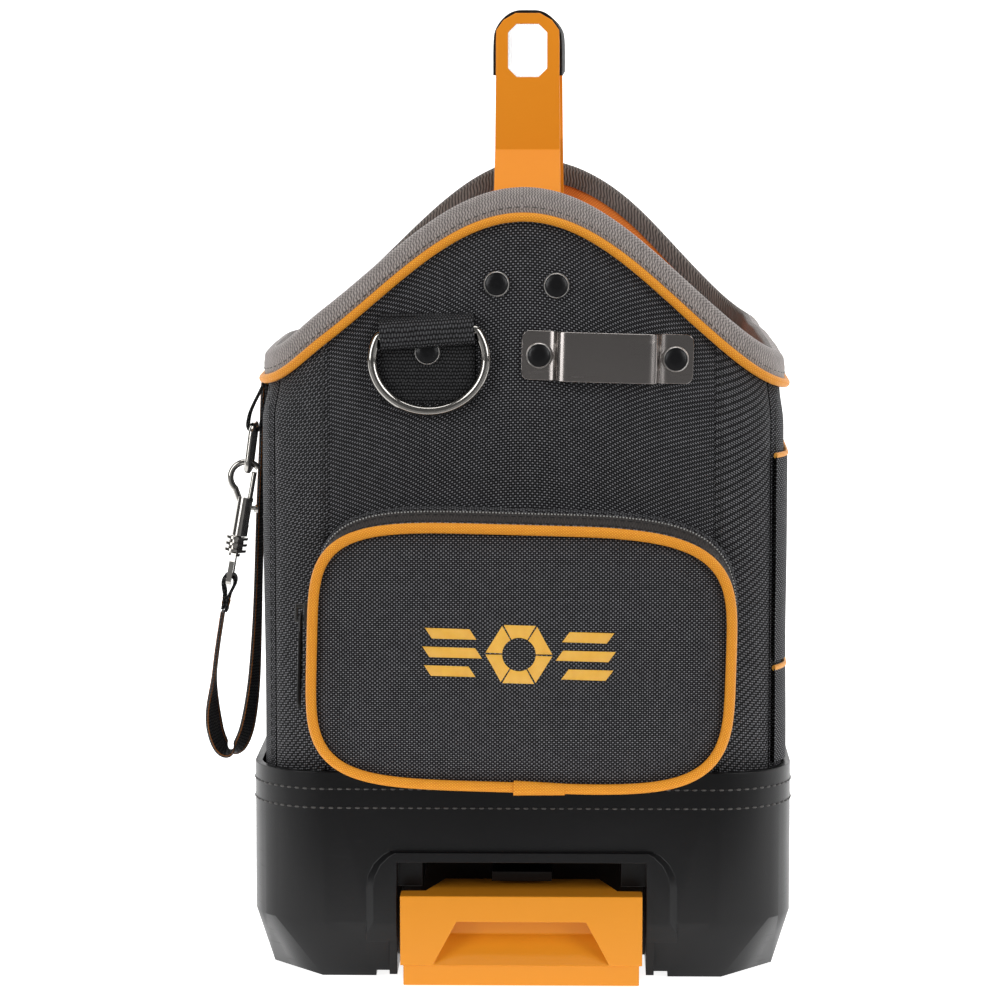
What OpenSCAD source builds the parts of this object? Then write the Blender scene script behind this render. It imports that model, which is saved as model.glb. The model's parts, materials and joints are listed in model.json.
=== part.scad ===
// Open-top tool organizer bag on a moulded, latching base, with a rigid carry handle.
// Millimetres. +Z up, origin on the floor under the middle of the base; the pocketed end faces -Y.

/* [Bag] */
// Outside width of the fabric body, across X
bag_w = 262; // [256:1:262]
// Outside length of the fabric body, along Y
bag_l = 388; // [380:1:388]
// Plan radius of the body's upright corners
corner_r = 36; // [32:1:40]
// Thickness of the padded outer panels
panel_t = 4; // [3.5:0.25:4.5]
// Height of the rim seam at the long sides
seam_low = 299; // [285:1:302]
// Extra height of the rim seam at the two peaks
seam_rise = 82; // [70:1:82]
// Width of the webbing that binds the rim
band_h = 14.5; // [12:0.5:16]
// Fall of the sewn rim, clip and pocket towards +X, in degrees
sew_tilt = 1.5; // [0:0.1:1.6]

/* [Base tub] */
// Outside width of the tub
tub_w = 270; // [270:1:276]
// Outside length of the tub
tub_l = 400; // [400:1:406]
// Height of the tub's rim
tub_h = 106; // [98:1:110]
// Wall thickness of the tub
tub_wall = 3.8; // [3.5:0.1:3.9]
// Height of the sloping skirt at the foot of the tub
skirt_h = 31; // [25:1:34]

/* [Latch] */
// Width of the latch block
latch_w = 120; // [110:1:120]
// Top of the latch block
latch_top = 46; // [42:0.1:46]
// How far the latch can be pulled out
latch_travel = 10; // [6:1:10]

/* [Handle] */
// Width of the handle bar
bar_w = 31.6; // [30:0.2:34]
// Top of the handle bar
bar_top = 480.4; // [476:0.2:481]
// Half the distance between the outside faces of the two legs at the bar
leg_y = 157.5; // [150:0.5:160]

/* [Front pocket] */
// Half width of the pocket's face
pocket_hw = 102.5; // [95:0.5:103]
// Half height of the pocket's face
pocket_hh = 62.5; // [58:0.5:63]
// Height of the pocket's centre
pocket_z = 167; // [166:0.5:170]
// How far the pocket's face edge stands off the end panel
pocket_d = 25; // [22:1:28]

/* [Metal fittings] */
// Wire radius of the D-ring
d_wire = 2.5; // [2:0.1:2.5]
// Radius of a rivet head
rivet_r = 6.4; // [5.5:0.1:6.6]
// Lean of the hanging snap hook away from the bag, in degrees
hook_lean = 10; // [6:1:12]

/* [Hidden] */
$fn = 48;

gap = 0.3;                              // between sewn layers
lining_t = 1.5;
lining_off = -panel_t - gap;            // outside face of the lining
inner_off = lining_off - lining_t;      // inside face of the lining
front_y = -bag_l / 2;                   // outside face of the front end panel
deck_z = 62;                            // underside of the deck that carries the bag
deck_top = 66;
floor_z = deck_top + 0.5;
seam_span = 140;                        // half width over which the rim wave runs
seam_power = 0.876;
peak_x = 2.2;                           // the rim's peaks and the handle sit a little to the right
tilt_slope = tan(sew_tilt);
pipe_r = 2.3;
pipe_off = 2.5;                         // piping centre outside the fabric
seat_y = front_y - gap;                 // where sewn-on pieces start on the front panel

cavity_hw = latch_w / 2 + 2;
cavity_top = 61;
cavity_back = -150;
rod_z = 26;
rod_x = 25;
rod_r = 3;
latch_front = -212;
latch_back = -168;

ring_y = -115;                          // where the tape strap hangs along the left side
ring_top = [-138.4, 271];
ring_drop = 23;
ring_lean = 7.6;
ring_wire = 1.8;
hook_bar = [ring_top[0] - ring_drop * sin(ring_lean), ring_top[1] - ring_drop * cos(ring_lean)];
hook_r = 8;
hook_wire = 1.6;
hook_sit = 5.6;                         // from the hook's top centreline datum to the ring's bar
strap_w = 12;
strap_t = 1.8;
// The tape strap's route, from the seam under the rim piping down, round and up to the hook.
strap_route = [
    [-133.4, -98, 295.4], [-134, -98, 289], [-134.6, -98, 275], [-135.2, -98, 259], [-136, -98, 243],
    [-136.8, -98.5, 225], [-137.4, -99, 207], [-138, -99.5, 189], [-138.6, -100, 171],
    [-139.4, -101, 153], [-140.4, -102, 137], [-142, -103.5, 123], [-144.4, -105, 111],
    [-148, -106.5, 103], [-152.4, -108, 100.4], [-156.6, -109.5, 103], [-159.6, -111, 110.5],
    [-161, -112, 121], [-160.8, -113, 133], [-159.6, -114, 145], [-158, -114.6, 157],
    [-156.4, -115, 167], [-155.2, -115, 174.5]
];

// ---------- outlines and helpers ----------

function arc(cx, cy, r, a0, a1, n) =
    [for (i = [0:n]) let (a = a0 + (a1 - a0) * i / n) [cx + r * cos(a), cy + r * sin(a)]];

function round_rect(w, l, r, n = 10) = concat(
    arc(w / 2 - r, l / 2 - r, r, 0, 90, n),
    arc(-w / 2 + r, l / 2 - r, r, 90, 180, n),
    arc(-w / 2 + r, -l / 2 + r, r, 180, 270, n),
    arc(w / 2 - r, -l / 2 + r, r, 270, 360, n));

function bag_outline(off, n = 10) = round_rect(bag_w + 2 * off, bag_l + 2 * off, corner_r + off, n);

function spow(v, p) = sign(v) * pow(abs(v), p);

function pocket_outline(hw, hh, steps = 56) =
    [for (i = [0:steps - 1]) let (a = 360 * i / steps)
        [hw * spow(cos(a), 0.42), hh * spow(sin(a), 0.42)]];

function ramp(t) = let (c = min(max(t, 0), 1)) c * c * (3 - 2 * c);
function seam_z(x) = seam_low - tilt_slope * x - 4 * ramp((-x - 98) / 33)
    + seam_rise * pow(0.5 + 0.5 * cos(180 * min(abs(x - peak_x), seam_span) / seam_span), seam_power);
function seam_slope(x) = (seam_z(x + 1) - seam_z(x - 1)) / 2;
function rim_z(x) = seam_z(x) + band_h * sqrt(1 + 0.2 * pow(seam_slope(x), 2));

function unit(v) = v / norm(v);

// Sweeps a closed section along a path. ref is never parallel to the path.
module sweep(path, section, ref, closed = false) {
    n = len(path);
    m = len(section);
    tan_at = [for (i = [0:n - 1])
        let (a = closed ? path[(i + n - 1) % n] : path[max(i - 1, 0)],
             b = closed ? path[(i + 1) % n] : path[min(i + 1, n - 1)])
        unit(b - a)];
    pts = [for (i = [0:n - 1])
        let (s = unit(cross(tan_at[i], ref)), u = cross(s, tan_at[i]))
        for (q = section) path[i] + q[0] * s + q[1] * u];
    walls = [for (i = [0:(closed ? n - 1 : n - 2)]) for (j = [0:m - 1])
        let (a = i * m + j, b = i * m + (j + 1) % m,
             c = ((i + 1) % n) * m + (j + 1) % m, d = ((i + 1) % n) * m + j)
        each [[a, c, b], [a, d, c]]];
    caps = closed ? [] : [[for (j = [0:m - 1]) j], [for (j = [m - 1:-1:0]) (n - 1) * m + j]];
    polyhedron(points = pts, faces = concat(walls, caps), convexity = 6);
}

function round_section(r, sides) =
    [for (j = [0:sides - 1]) [r * cos(360 * j / sides), r * sin(360 * j / sides)]];
function flat_section(t, w) = [[t / 2, w / 2], [-t / 2, w / 2], [-t / 2, -w / 2], [t / 2, -w / 2]];

// Everything below the rim line, lowered by drop.
module below_rim(drop) {
    rotate([90, 0, 0]) linear_extrude(500, center = true)
        polygon(concat([[160, -10], [-160, -10]],
                       [for (x = [-160:5:160]) [x, rim_z(x) - drop]]));
}

module below_seam(lift) {
    rotate([90, 0, 0]) linear_extrude(520, center = true)
        polygon(concat([[160, -10], [-160, -10]],
                       [for (x = [-160:5:160]) [x, seam_z(x) + lift]]));
}

module wall_ring(off_out, off_in, z0) {
    translate([0, 0, z0]) linear_extrude(360) difference() {
        polygon(bag_outline(off_out));
        polygon(bag_outline(off_in));
    }
}

seam_angle = 55;                        // where the corner panels meet the side panels
flat_hx = bag_w / 2 - corner_r;         // half width of the flat end panels
flat_hy = bag_l / 2 - corner_r;

// Plan wedge of one rounded corner, between two angles measured from the end panel's edge.
module corner_wedge(a0, a1) {
    linear_extrude(460) polygon(concat([[flat_hx, -flat_hy]],
        [for (a = [a0, (a0 + a1) / 2, a1]) [flat_hx + 60 * sin(a), -flat_hy - 60 * cos(a)]]));
}

module outer_wall() {
    intersection() {
        wall_ring(0, -panel_t, floor_z);
        below_rim(1.5);
    }
}

module rivet_head(r, h) {
    rotate_extrude() polygon(concat([[0, 0]],
        [[r, 0]], [for (a = [20:17.5:90]) [r * cos(a) / cos(20) * 0.985, h * sin(a)]]));
}

// A rivet through a wall: head on -Y at face_y, shank to tail_y, small tail beyond it.
module rivet(x, z, face_y, tail_y) {
    dir = tail_y > face_y ? 1 : -1;
    translate([x, face_y, z]) {
        rotate([90 * dir, 0, 0]) rivet_head(rivet_r, 2.4);
        rotate([-90 * dir, 0, 0]) cylinder(r = 2.5, h = abs(tail_y - face_y));
    }
    translate([x, tail_y, z]) rotate([-90 * dir, 0, 0]) cylinder(r = 5, h = 1.6);
}

module hole_y(x, z, y0, y1, r = 2.6) {
    translate([x, min(y0, y1), z]) rotate([-90, 0, 0]) cylinder(r = r, h = abs(y1 - y0));
}

handle_rivet_x = [peak_x - 14.7, peak_x + 14.7];
handle_rivet_z = 347.7;
d_x = -46.5;
d_bar_z = 324.2;
d_rivet_z = 314.7;
clip_x = 42;
clip_z = 312.2;
clip_rivet_dx = 33.6;

function clip_rivet(side) = [clip_x + side * clip_rivet_dx * cos(sew_tilt),
                             clip_z - side * clip_rivet_dx * sin(sew_tilt)];

module front_wall_holes() {
    for (x = handle_rivet_x) hole_y(x, handle_rivet_z, -200, -178);
    hole_y(d_x, d_rivet_z, -200, -178);
    for (s = [-1, 1]) hole_y(clip_rivet(s)[0], clip_rivet(s)[1], -200, -178);
}

module rear_wall_holes() {
    for (x = handle_rivet_x) hole_y(x, handle_rivet_z, 178, 200);
}

// ---------- base ----------

function foot_outline(inset) = [
    [100 - inset * 0.4, -186 + inset], [126.5 - inset, -152 + inset * 0.6],
    [126.5 - inset, 152 - inset * 0.6], [100 - inset * 0.4, 186 - inset],
    [-100 + inset * 0.4, 186 - inset], [-126.5 + inset, 152 - inset * 0.6],
    [-126.5 + inset, -152 + inset * 0.6], [-100 + inset * 0.4, -186 + inset]];

function tub_outline(inset) = round_rect(tub_w - 2 * inset, tub_l - 2 * inset, 39 - inset, 16);

module tub_solid(inset, top) {
    hull() {
        linear_extrude(0.2) polygon(foot_outline(inset));
        translate([0, 0, skirt_h - 0.2]) linear_extrude(0.2) polygon(tub_outline(inset));
    }
    translate([0, 0, skirt_h - 0.1]) linear_extrude(top - skirt_h + 0.1) polygon(tub_outline(inset));
}

function opening_frame(grow) = concat(
    [[cavity_hw + 13 + grow, 3]],
    arc(cavity_hw - 7 + grow, 48, 20, 0, 90, 5),
    arc(-cavity_hw + 7 - grow, 48, 20, 90, 180, 5),
    [[-cavity_hw - 13 - grow, 3]]);

cover_screw_xy = [for (x = [-100, 100]) for (y = [-105, 0, 105]) [x, y]];

module base_tub() {
    color([0.11, 0.11, 0.12]) difference() {
        union() {
            difference() {
                tub_solid(0, tub_h);
                translate([0, 0, deck_top]) linear_extrude(60) polygon(tub_outline(tub_wall));
                translate([0, 0, -1]) tub_solid(tub_wall, deck_z + 1);
            }
            // raised surround of the latch opening
            intersection() {
                tub_solid(-3, 66);
                hull() {
                    translate([0, -198, 0]) rotate([90, 0, 0]) linear_extrude(2) polygon(opening_frame(2.4));
                    translate([0, -202.9, 0]) rotate([90, 0, 0]) linear_extrude(0.4) polygon(opening_frame(-1.6));
                }
                translate([-90, -210, 0]) cube([180, 22, 70]);
            }
            // latch housing
            translate([-cavity_hw - 4, -196.5, 3]) cube([2 * cavity_hw + 8, 50.5, deck_z - 2]);
            for (p = cover_screw_xy) translate([p[0], p[1], 7.4]) cylinder(r = 5, h = deck_z - 7);
            linear_extrude(3) polygon(foot_outline(0));
        }
        // latch cavity, open to the front and below
        difference() {
            translate([-cavity_hw, -230, -1]) cube([2 * cavity_hw, 230 + cavity_back, cavity_top + 1]);
            for (s = [-1, 1]) translate([s * (cavity_hw - 6) - 6.5, -192, 47]) cube([13, 60, 15]);
            translate([-15, -184, 48]) cube([30, 50, 5]);
        }
        // rods run through the housing's back wall
        for (s = [-1, 1]) hole_y(s * rod_x, rod_z, cavity_back - 1, -140, rod_r + 0.06);
        // pilot holes for the cover screws
        for (p = cover_screw_xy) translate([p[0], p[1], 6]) cylinder(r = 1.7, h = 16);
        // the tub stands on four corner feet
        translate([-73, -260, -1]) cube([146, 520, 4]);
        translate([-150, -118, -1]) cube([300, 236, 4]);
    }
}

module base_bottom_cover() {
    color([0.14, 0.14, 0.15]) difference() {
        translate([0, 0, 4]) linear_extrude(3) difference() {
            polygon(foot_outline(5));
            translate([-cavity_hw - 5.5, -260]) square([2 * cavity_hw + 11, 260 + cavity_back + 5.5]);
        }
        for (p = cover_screw_xy) translate([p[0], p[1], 0]) cylinder(r = 2.2, h = 10);
        // drain and stacking slots
        for (y = [-60, 60]) for (x = [-45, 45]) translate([x - 20, y - 5, 0]) cube([40, 10, 10]);
    }
}

module base_cover_screws() {
    color("silver") for (p = cover_screw_xy) translate([p[0], p[1], 0]) {
        translate([0, 0, 2.2]) cylinder(r = 3.8, h = 1.8);
        translate([0, 0, 3.9]) cylinder(r = 1.6, h = 15);
    }
}

// ---------- latch ----------

module latch_block() {
    hw = latch_w / 2;
    color([0.93, 0.5, 0.12]) difference() {
        union() {
            translate([0, 0, 11]) linear_extrude(latch_top - 11) polygon([
                [-hw, latch_front], [hw, latch_front], [hw, -198], [48, -198], [39, latch_back],
                [-39, latch_back], [-48, -198], [-hw, -198]]);
            // lip below the block, with the catch that hooks the module underneath
            translate([-hw + 1.5, latch_front + 1, 0.8]) cube([latch_w - 3, 10, 10.4]);
            translate([-hw + 1.5, latch_front + 1, 0.8]) cube([latch_w - 3, 20, 3.2]);
        }
        // finger recess: a trapezoid seen from the front, a ramp seen from the side
        intersection() {
            rotate([90, 0, 0]) linear_extrude(230)
                polygon([[-32, 33], [32, 33], [45, 9], [-45, 9]]);
            rotate([90, 0, 90]) linear_extrude(140, center = true)
                polygon([[-214, 33], [-199.5, 33], [-199.5, 24.5], [-212, 11], [-214, 11]]);
        }
        for (s = [-1, 1]) hole_y(s * rod_x, rod_z, -180, latch_back + 1, rod_r + 0.04);
    }
}

module latch_guide_screws() {
    color("silver") for (s = [-1, 1]) translate([s * rod_x, -179.9, rod_z]) rotate([-90, 0, 0]) {
        cylinder(r = rod_r, h = 58);
        translate([0, 0, 58]) cylinder(r = 6, h = 3.5);
    }
}

module latch_washers() {
    color("silver") for (s = [-1, 1]) translate([s * rod_x, -123.2, rod_z]) rotate([-90, 0, 0])
        difference() {
            cylinder(r = 6.8, h = 1.2);
            translate([0, 0, -1]) cylinder(r = rod_r + 0.1, h = 4);
        }
}

spring_turns = 6;
spring_y0 = -145;
spring_y1 = -124.2;
module latch_springs() {
    color("dimgray") for (s = [-1, 1])
        sweep([for (i = [0:spring_turns * 12]) let (a = 30 * i, f = i / (spring_turns * 12))
            [s * rod_x + 4.7 * cos(a), spring_y0 + (spring_y1 - spring_y0) * f, rod_z + 4.7 * sin(a)]],
            round_section(0.75, 6), [0, 1, 0]);
}

// ---------- bag body ----------

module floor_board() {
    color([0.85, 0.42, 0.1]) translate([0, 0, floor_z]) linear_extrude(3)
        polygon(bag_outline(inner_off - 0.4));
}

module front_end_panel() {
    color([0.15, 0.15, 0.16]) difference() {
        intersection() {
            outer_wall();
            translate([-flat_hx + 0.15, -260, 0]) cube([2 * flat_hx - 0.3, 200, 460]);
        }
        front_wall_holes();
    }
}

module rear_end_panel() {
    color([0.15, 0.15, 0.16]) difference() {
        intersection() {
            outer_wall();
            translate([-flat_hx + 0.15, 60, 0]) cube([2 * flat_hx - 0.3, 200, 460]);
        }
        rear_wall_holes();
    }
}

module corner_panels() {
    color([0.13, 0.13, 0.14]) for (sx = [0, 1]) for (sy = [0, 1])
        intersection() {
            outer_wall();
            mirror([sx, 0, 0]) mirror([0, sy, 0]) corner_wedge(0.2, seam_angle - 0.2);
        }
}

module side_panel(sx) {
    intersection() {
        outer_wall();
        mirror([sx, 0, 0]) union() {
            translate([60, -flat_hy, 0]) cube([120, 2 * flat_hy, 460]);
            for (sy = [0, 1]) mirror([0, sy, 0]) corner_wedge(seam_angle + 0.2, 90);
        }
    }
}
module left_side_panel() { color([0.16, 0.16, 0.17]) side_panel(1); }
module right_side_panel() { color([0.16, 0.16, 0.17]) side_panel(0); }

module inner_lining() {
    color([0.9, 0.45, 0.12]) difference() {
        intersection() {
            wall_ring(lining_off, inner_off, floor_z);
            below_rim(1.5);
        }
        front_wall_holes();
        rear_wall_holes();
    }
}

module rim_binding() {
    color([0.42, 0.4, 0.4]) difference() {
        intersection() {
            wall_ring(1.6, inner_off - 1.2, 200);
            below_rim(0);
        }
        below_seam(pipe_r + 0.2);
        intersection() {
            wall_ring(0.1, inner_off - 0.1, 190);
            below_rim(1.4);
        }
    }
}

module rim_piping() {
    hx = flat_hx;
    hy = flat_hy;
    r = corner_r + pipe_off;
    plan = concat(
        [for (i = [0:15]) [-hx + 2 * hx * i / 15, -hy - r]],
        [for (i = [1:7]) [hx + r * sin(90 * i / 8), -hy - r * cos(90 * i / 8)]],
        [for (i = [0:4]) [hx + r, -hy + 2 * hy * i / 4]],
        [for (i = [1:7]) [hx + r * cos(90 * i / 8), hy + r * sin(90 * i / 8)]],
        [for (i = [0:15]) [hx - 2 * hx * i / 15, hy + r]],
        [for (i = [1:7]) [-hx - r * sin(90 * i / 8), hy + r * cos(90 * i / 8)]],
        [for (i = [0:4]) [-hx - r, hy - 2 * hy * i / 4]],
        [for (i = [1:7]) [-hx - r * cos(90 * i / 8), -hy - r * sin(90 * i / 8)]]);
    color([0.95, 0.55, 0.13])
        sweep([for (p = plan) [p[0], p[1], seam_z(p[0])]], round_section(pipe_r, 8), [0, 0, 1], true);
}

// ---------- pockets ----------

inner_face_x = bag_w / 2 + inner_off;   // inside face of the lining at the long sides

// A row of open pockets on the lining: one shell with three cells.
module inner_pockets(sx) {
    depth = 15;
    long = 300;
    cell = (long - 4 * 1.6) / 3;
    mirror([sx, 0, 0]) difference() {
        translate([inner_face_x - gap - depth, -long / 2, floor_z + 3.5]) cube([depth, long, 150]);
        for (i = [0:2]) translate([inner_face_x - gap - depth + 1.6,
                                   -long / 2 + 1.6 + i * (cell + 1.6), floor_z + 5.5])
            cube([depth - 3, cell, 160]);
    }
}
module left_inner_pockets() { color([0.82, 0.4, 0.1]) inner_pockets(1); }
module right_inner_pockets() { color([0.82, 0.4, 0.1]) inner_pockets(0); }

cloth = 1.3;                            // thickness of a pocket's cloth
bulge = 7;                              // how far a filled-out slip pocket stands off the side

// Plan of one slip pocket's front, bowed between its two sewn edges.
function bow(y0, y1, flat, height, n = 10) =
    [for (i = [0:n]) [flat + height * sin(180 * i / n), y0 + (y1 - y0) * i / n]];

module slip_pockets(edges, z0, z1) {
    x0 = bag_w / 2 + gap;
    difference() {
        union() for (i = [0:len(edges) - 2]) translate([0, 0, z0]) linear_extrude(z1 - z0)
            polygon(concat([[x0, edges[i]]], bow(edges[i], edges[i + 1], x0 + cloth + 0.4, bulge - cloth - 0.4),
                           [[x0, edges[i + 1]]]));
        for (i = [0:len(edges) - 2]) translate([0, 0, z0 + 2]) linear_extrude(z1 - z0)
            polygon(concat([[x0 - 1, edges[i] + 5]],
                           bow(edges[i] + 5, edges[i + 1] - 5, x0 + 0.4, bulge - cloth - 0.4),
                           [[x0 - 1, edges[i + 1] - 5]]));
    }
}
right_edges = [-156, -52, 52, 156];
left_edges = [-82, 38, 156];
upper_z = [167, 262];
lower_z = [tub_h + 2, 155.5];
module right_upper_pockets() { color([0.13, 0.13, 0.14]) slip_pockets(right_edges, upper_z[0], upper_z[1]); }
module right_lower_pockets() { color([0.13, 0.13, 0.14]) slip_pockets(right_edges, lower_z[0], lower_z[1]); }
module left_upper_pockets() { color([0.13, 0.13, 0.14]) mirror([1, 0, 0]) slip_pockets(left_edges, upper_z[0], upper_z[1]); }
module left_lower_pockets() { color([0.13, 0.13, 0.14]) mirror([1, 0, 0]) slip_pockets(left_edges, lower_z[0], lower_z[1]); }

// Thin tape bound along each slip pocket's top edge.
module edge_trim(edges, z) {
    x0 = bag_w / 2 + gap;
    difference() {
        union() for (i = [0:len(edges) - 2]) translate([0, 0, z + 0.1]) linear_extrude(2)
            polygon(concat([[x0, edges[i]]], bow(edges[i], edges[i + 1], x0 + cloth + 0.9, bulge - cloth - 0.4),
                           [[x0, edges[i + 1]]]));
        for (i = [0:len(edges) - 2]) translate([0, 0, z - 1]) linear_extrude(6)
            polygon(concat([[x0 - 1, edges[i] + 4]],
                           bow(edges[i] + 4, edges[i + 1] - 4, x0 - 0.1, bulge - cloth - 0.4),
                           [[x0 - 1, edges[i + 1] - 4]]));
    }
}
module side_pocket_trims() {
    color([0.95, 0.6, 0.15]) {
        for (z = [upper_z[1], lower_z[1]]) {
            edge_trim(right_edges, z);
            mirror([1, 0, 0]) edge_trim(left_edges, z);
        }
    }
}

module rear_slip(z0, z1, grow, floor_t) {
    difference() {
        translate([0, 0, z0]) linear_extrude(z1 - z0) polygon(concat([[-82, bag_l / 2 + gap]],
            [for (p = bow(-82, 82, cloth + 0.4 + grow, 7.5)) [p[1], bag_l / 2 + gap + p[0]]],
            [[82, bag_l / 2 + gap]]));
        translate([0, 0, z0 + floor_t]) linear_extrude(z1) polygon(concat([[-78, bag_l / 2 - 1]],
            [for (p = bow(-78, 78, 0, 7.5)) [p[1], bag_l / 2 + gap + 0.2 + p[0]]],
            [[78, bag_l / 2 - 1]]));
    }
}
module rear_pocket() { color([0.13, 0.13, 0.14]) rear_slip(tub_h + 2, 245, 0, 2); }
module rear_pocket_trim() { color([0.95, 0.6, 0.15]) rear_slip(245.1, 247.6, 0.5, -1); }

// ---------- zipped front pocket ----------

module on_front() {
    translate([0, 0, pocket_z]) rotate([0, sew_tilt, 0]) children();
}

face_y = front_y - pocket_d;            // plane of the pocket's face edge

module pocket_slab(hw, hh, y0, y1, dz = 0) {
    translate([0, y1, dz]) rotate([90, 0, 0]) linear_extrude(y1 - y0) polygon(pocket_outline(hw, hh));
}

zip_y = [face_y + 3.5, face_y + 10.5];

module pocket_gusset() {
    color([0.12, 0.12, 0.13]) difference() {
        on_front() union() {
            hull() {
                pocket_slab(pocket_hw + 3.2, pocket_hh + 6.2, -200.9, -200.5, 1.6);
                pocket_slab(pocket_hw, pocket_hh, face_y, face_y + 0.4);
            }
            intersection() {
                pocket_slab(pocket_hw + 3.2, pocket_hh + 6.2, -201, seat_y, 1.6);
                translate([-150, -210, -pocket_z + tub_h + 4]) cube([300, 30, 300]);
            }
        }
        // channel for the zipper tape, round the top and both flanks
        on_front() intersection() {
            difference() {
                pocket_slab(pocket_hw + 20, pocket_hh + 20, zip_y[0] - 0.2, zip_y[1] + 0.2);
                pocket_slab(pocket_hw - 1.4, pocket_hh - 1.4, -240, -180);
            }
            translate([-150, -240, -12]) cube([300, 60, 120]);
        }
    }
}

module pocket_zipper_tape() {
    color([0.05, 0.05, 0.05]) on_front() intersection() {
        difference() {
            hull() {
                pocket_slab(pocket_hw + 1, pocket_hh + 1.6, zip_y[0], zip_y[0] + 0.3, 0.4);
                pocket_slab(pocket_hw + 2, pocket_hh + 3.9, zip_y[1] - 0.3, zip_y[1], 1);
            }
            pocket_slab(pocket_hw - 1.2, pocket_hh - 1.2, -240, -180);
        }
        translate([-150, -240, -11.8]) cube([300, 60, 120]);
    }
}

module pocket_face() {
    color([0.15, 0.15, 0.16]) on_front() hull() {
        pocket_slab(pocket_hw - 3, pocket_hh - 3, face_y - 1.5, face_y - gap);
        pocket_slab(pocket_hw - 24, pocket_hh - 20, face_y - 6, face_y - 5.6);
    }
}

module pocket_piping() {
    color([0.95, 0.55, 0.13]) on_front()
        sweep([for (p = pocket_outline(pocket_hw + 0.2, pocket_hh + 0.2, 72)) [p[0], face_y - pipe_r - 0.5, p[1]]],
              round_section(pipe_r, 8), [0, 1, 0], true);
}

// Plain embroidered badge: a hexagon nut between two bars.
module pocket_emblem() {
    color([0.95, 0.6, 0.15]) on_front() translate([-1, face_y - 6.1, 2]) rotate([90, 0, 0]) linear_extrude(0.7) {
        difference() {
            circle(r = 15, $fn = 6);
            circle(r = 8, $fn = 32);
        }
        for (s = [-1, 1]) for (k = [-1, 0, 1])
            translate([s * 31 - 12 + abs(k) * 3, k * 8 - 2.2]) square([24 - abs(k) * 6, 4.4]);
    }
}

slider_x = -pocket_hw - 2.2;
slider_z = 17;                          // above the pocket's centre
slider_y = (zip_y[0] + zip_y[1]) / 2;
module zipper_slider() {
    color([0.2, 0.2, 0.2]) on_front() translate([slider_x, slider_y, slider_z]) {
        translate([-2.6, -3.2, -6]) cube([2.4, 6.4, 12]);
        // bridge that carries the pull
        difference() {
            translate([-7, -1.4, -4]) cube([4.6, 2.8, 9]);
            translate([-5.4, -3, -2]) cube([3, 6, 5]);
        }
    }
}

module zipper_pull() {
    color([0.12, 0.12, 0.12]) on_front() translate([slider_x - 4.1, slider_y, slider_z - 0.8]) {
        difference() {
            union() {
                translate([-0.9, -4, -46]) cube([1.8, 8, 42]);
                translate([-0.9, -3.6, -6]) cube([1.8, 7.2, 7.9]);
            }
            translate([-2, -1.9, -4.8]) cube([4, 3.8, 5.4]);
            translate([-2, 0, -42]) rotate([0, 90, 0]) cylinder(r = 1.6, h = 4);
        }
    }
}

// ---------- D-ring ----------

ring_tilt = 4;                          // the ring sits askew in its webbing
d_axis_y = front_y - gap - 4.6;
module at_d_bar() {
    translate([d_x, d_axis_y, d_bar_z]) rotate([0, -ring_tilt, 0]) children();
}

module d_ring() {
    a0 = -asin(13 / 25.5);
    color([0.8, 0.79, 0.76]) at_d_bar()
        sweep(concat([for (i = [0:36]) let (a = a0 + (180 - 2 * a0) * i / 36)
                         [28 * cos(a), 0, -13 - 25.5 * sin(a)]],
                     [for (x = [-15, -5, 5, 15]) [x, 0, 0]]),
              round_section(d_wire, 10), [0, 1, 0], true);
}

module stadium(w, h) {
    r = w / 2;
    polygon(concat(arc(0, h / 2 - r, r, 0, 180, 12), arc(0, -h / 2 + r, r, 180, 360, 12)));
}

module d_ring_webbing() {
    color([0.06, 0.06, 0.06]) difference() {
        union() {
            at_d_bar() rotate([90, 0, 90]) linear_extrude(45.2, center = true) stadium(8.8, 16.4);
            translate([d_x - 23.3, front_y - gap - 1.6, 289.5]) cube([46.6, 1.6, 32]);
        }
        at_d_bar() rotate([90, 0, 90]) linear_extrude(60, center = true) stadium(6.2, 13);
        hole_y(d_x, d_rivet_z, -205, -190);
    }
}

module d_ring_rivet() {
    color([0.1, 0.1, 0.1]) rivet(d_x, d_rivet_z, front_y - gap - 1.7, front_y - inner_off + 0.2);
}

// ---------- tape clip ----------

module tape_clip() {
    y0 = seat_y;
    t = 1.3;
    out = 6.4;
    profile = [[42.3, 0], [26.2, 0], [24.8, -1], [22.2, -out + 0.6], [21, -out], [-21, -out],
               [-22.2, -out + 0.6], [-24.8, -1], [-26.2, 0], [-42.3, 0],
               [-42.3, -t], [-27, -t], [-25.9, -1.75], [-23.3, -out - 0.1], [-21.8, -out - t],
               [21.8, -out - t], [23.3, -out - 0.1], [25.9, -1.75], [27, -t], [42.3, -t]];
    color([0.55, 0.52, 0.48]) difference() {
        translate([clip_x, y0, clip_z]) rotate([0, sew_tilt, 0]) intersection() {
            translate([0, 0, -12.2]) linear_extrude(24.4) polygon(profile);
            rotate([90, 0, 0]) linear_extrude(60, center = true) union() {
                translate([-38.3, -12]) square([76.6, 24]);
                translate([-42.3, -8]) square([84.6, 16]);
                for (sx = [-1, 1]) for (sz = [-1, 1]) translate([sx * 38.3, sz * 8]) circle(r = 4);
            }
        }
        for (s = [-1, 1]) hole_y(clip_rivet(s)[0], clip_rivet(s)[1], -210, -190);
    }
}

module tape_clip_rivets() {
    color([0.1, 0.1, 0.1]) for (s = [-1, 1])
        rivet(clip_rivet(s)[0], clip_rivet(s)[1], seat_y - 1.4, front_y - inner_off + 0.2);
}

// ---------- handle ----------

leg_face = bag_l / 2 + inner_off - 0.2; // where the legs lie on the lining
leg_t = 5;
leg_foot_z = 326;
leg_bend_z = 370;
leg_up_z = 413;
win_hw = 9.6;
win_z = [449, 475];

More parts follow.
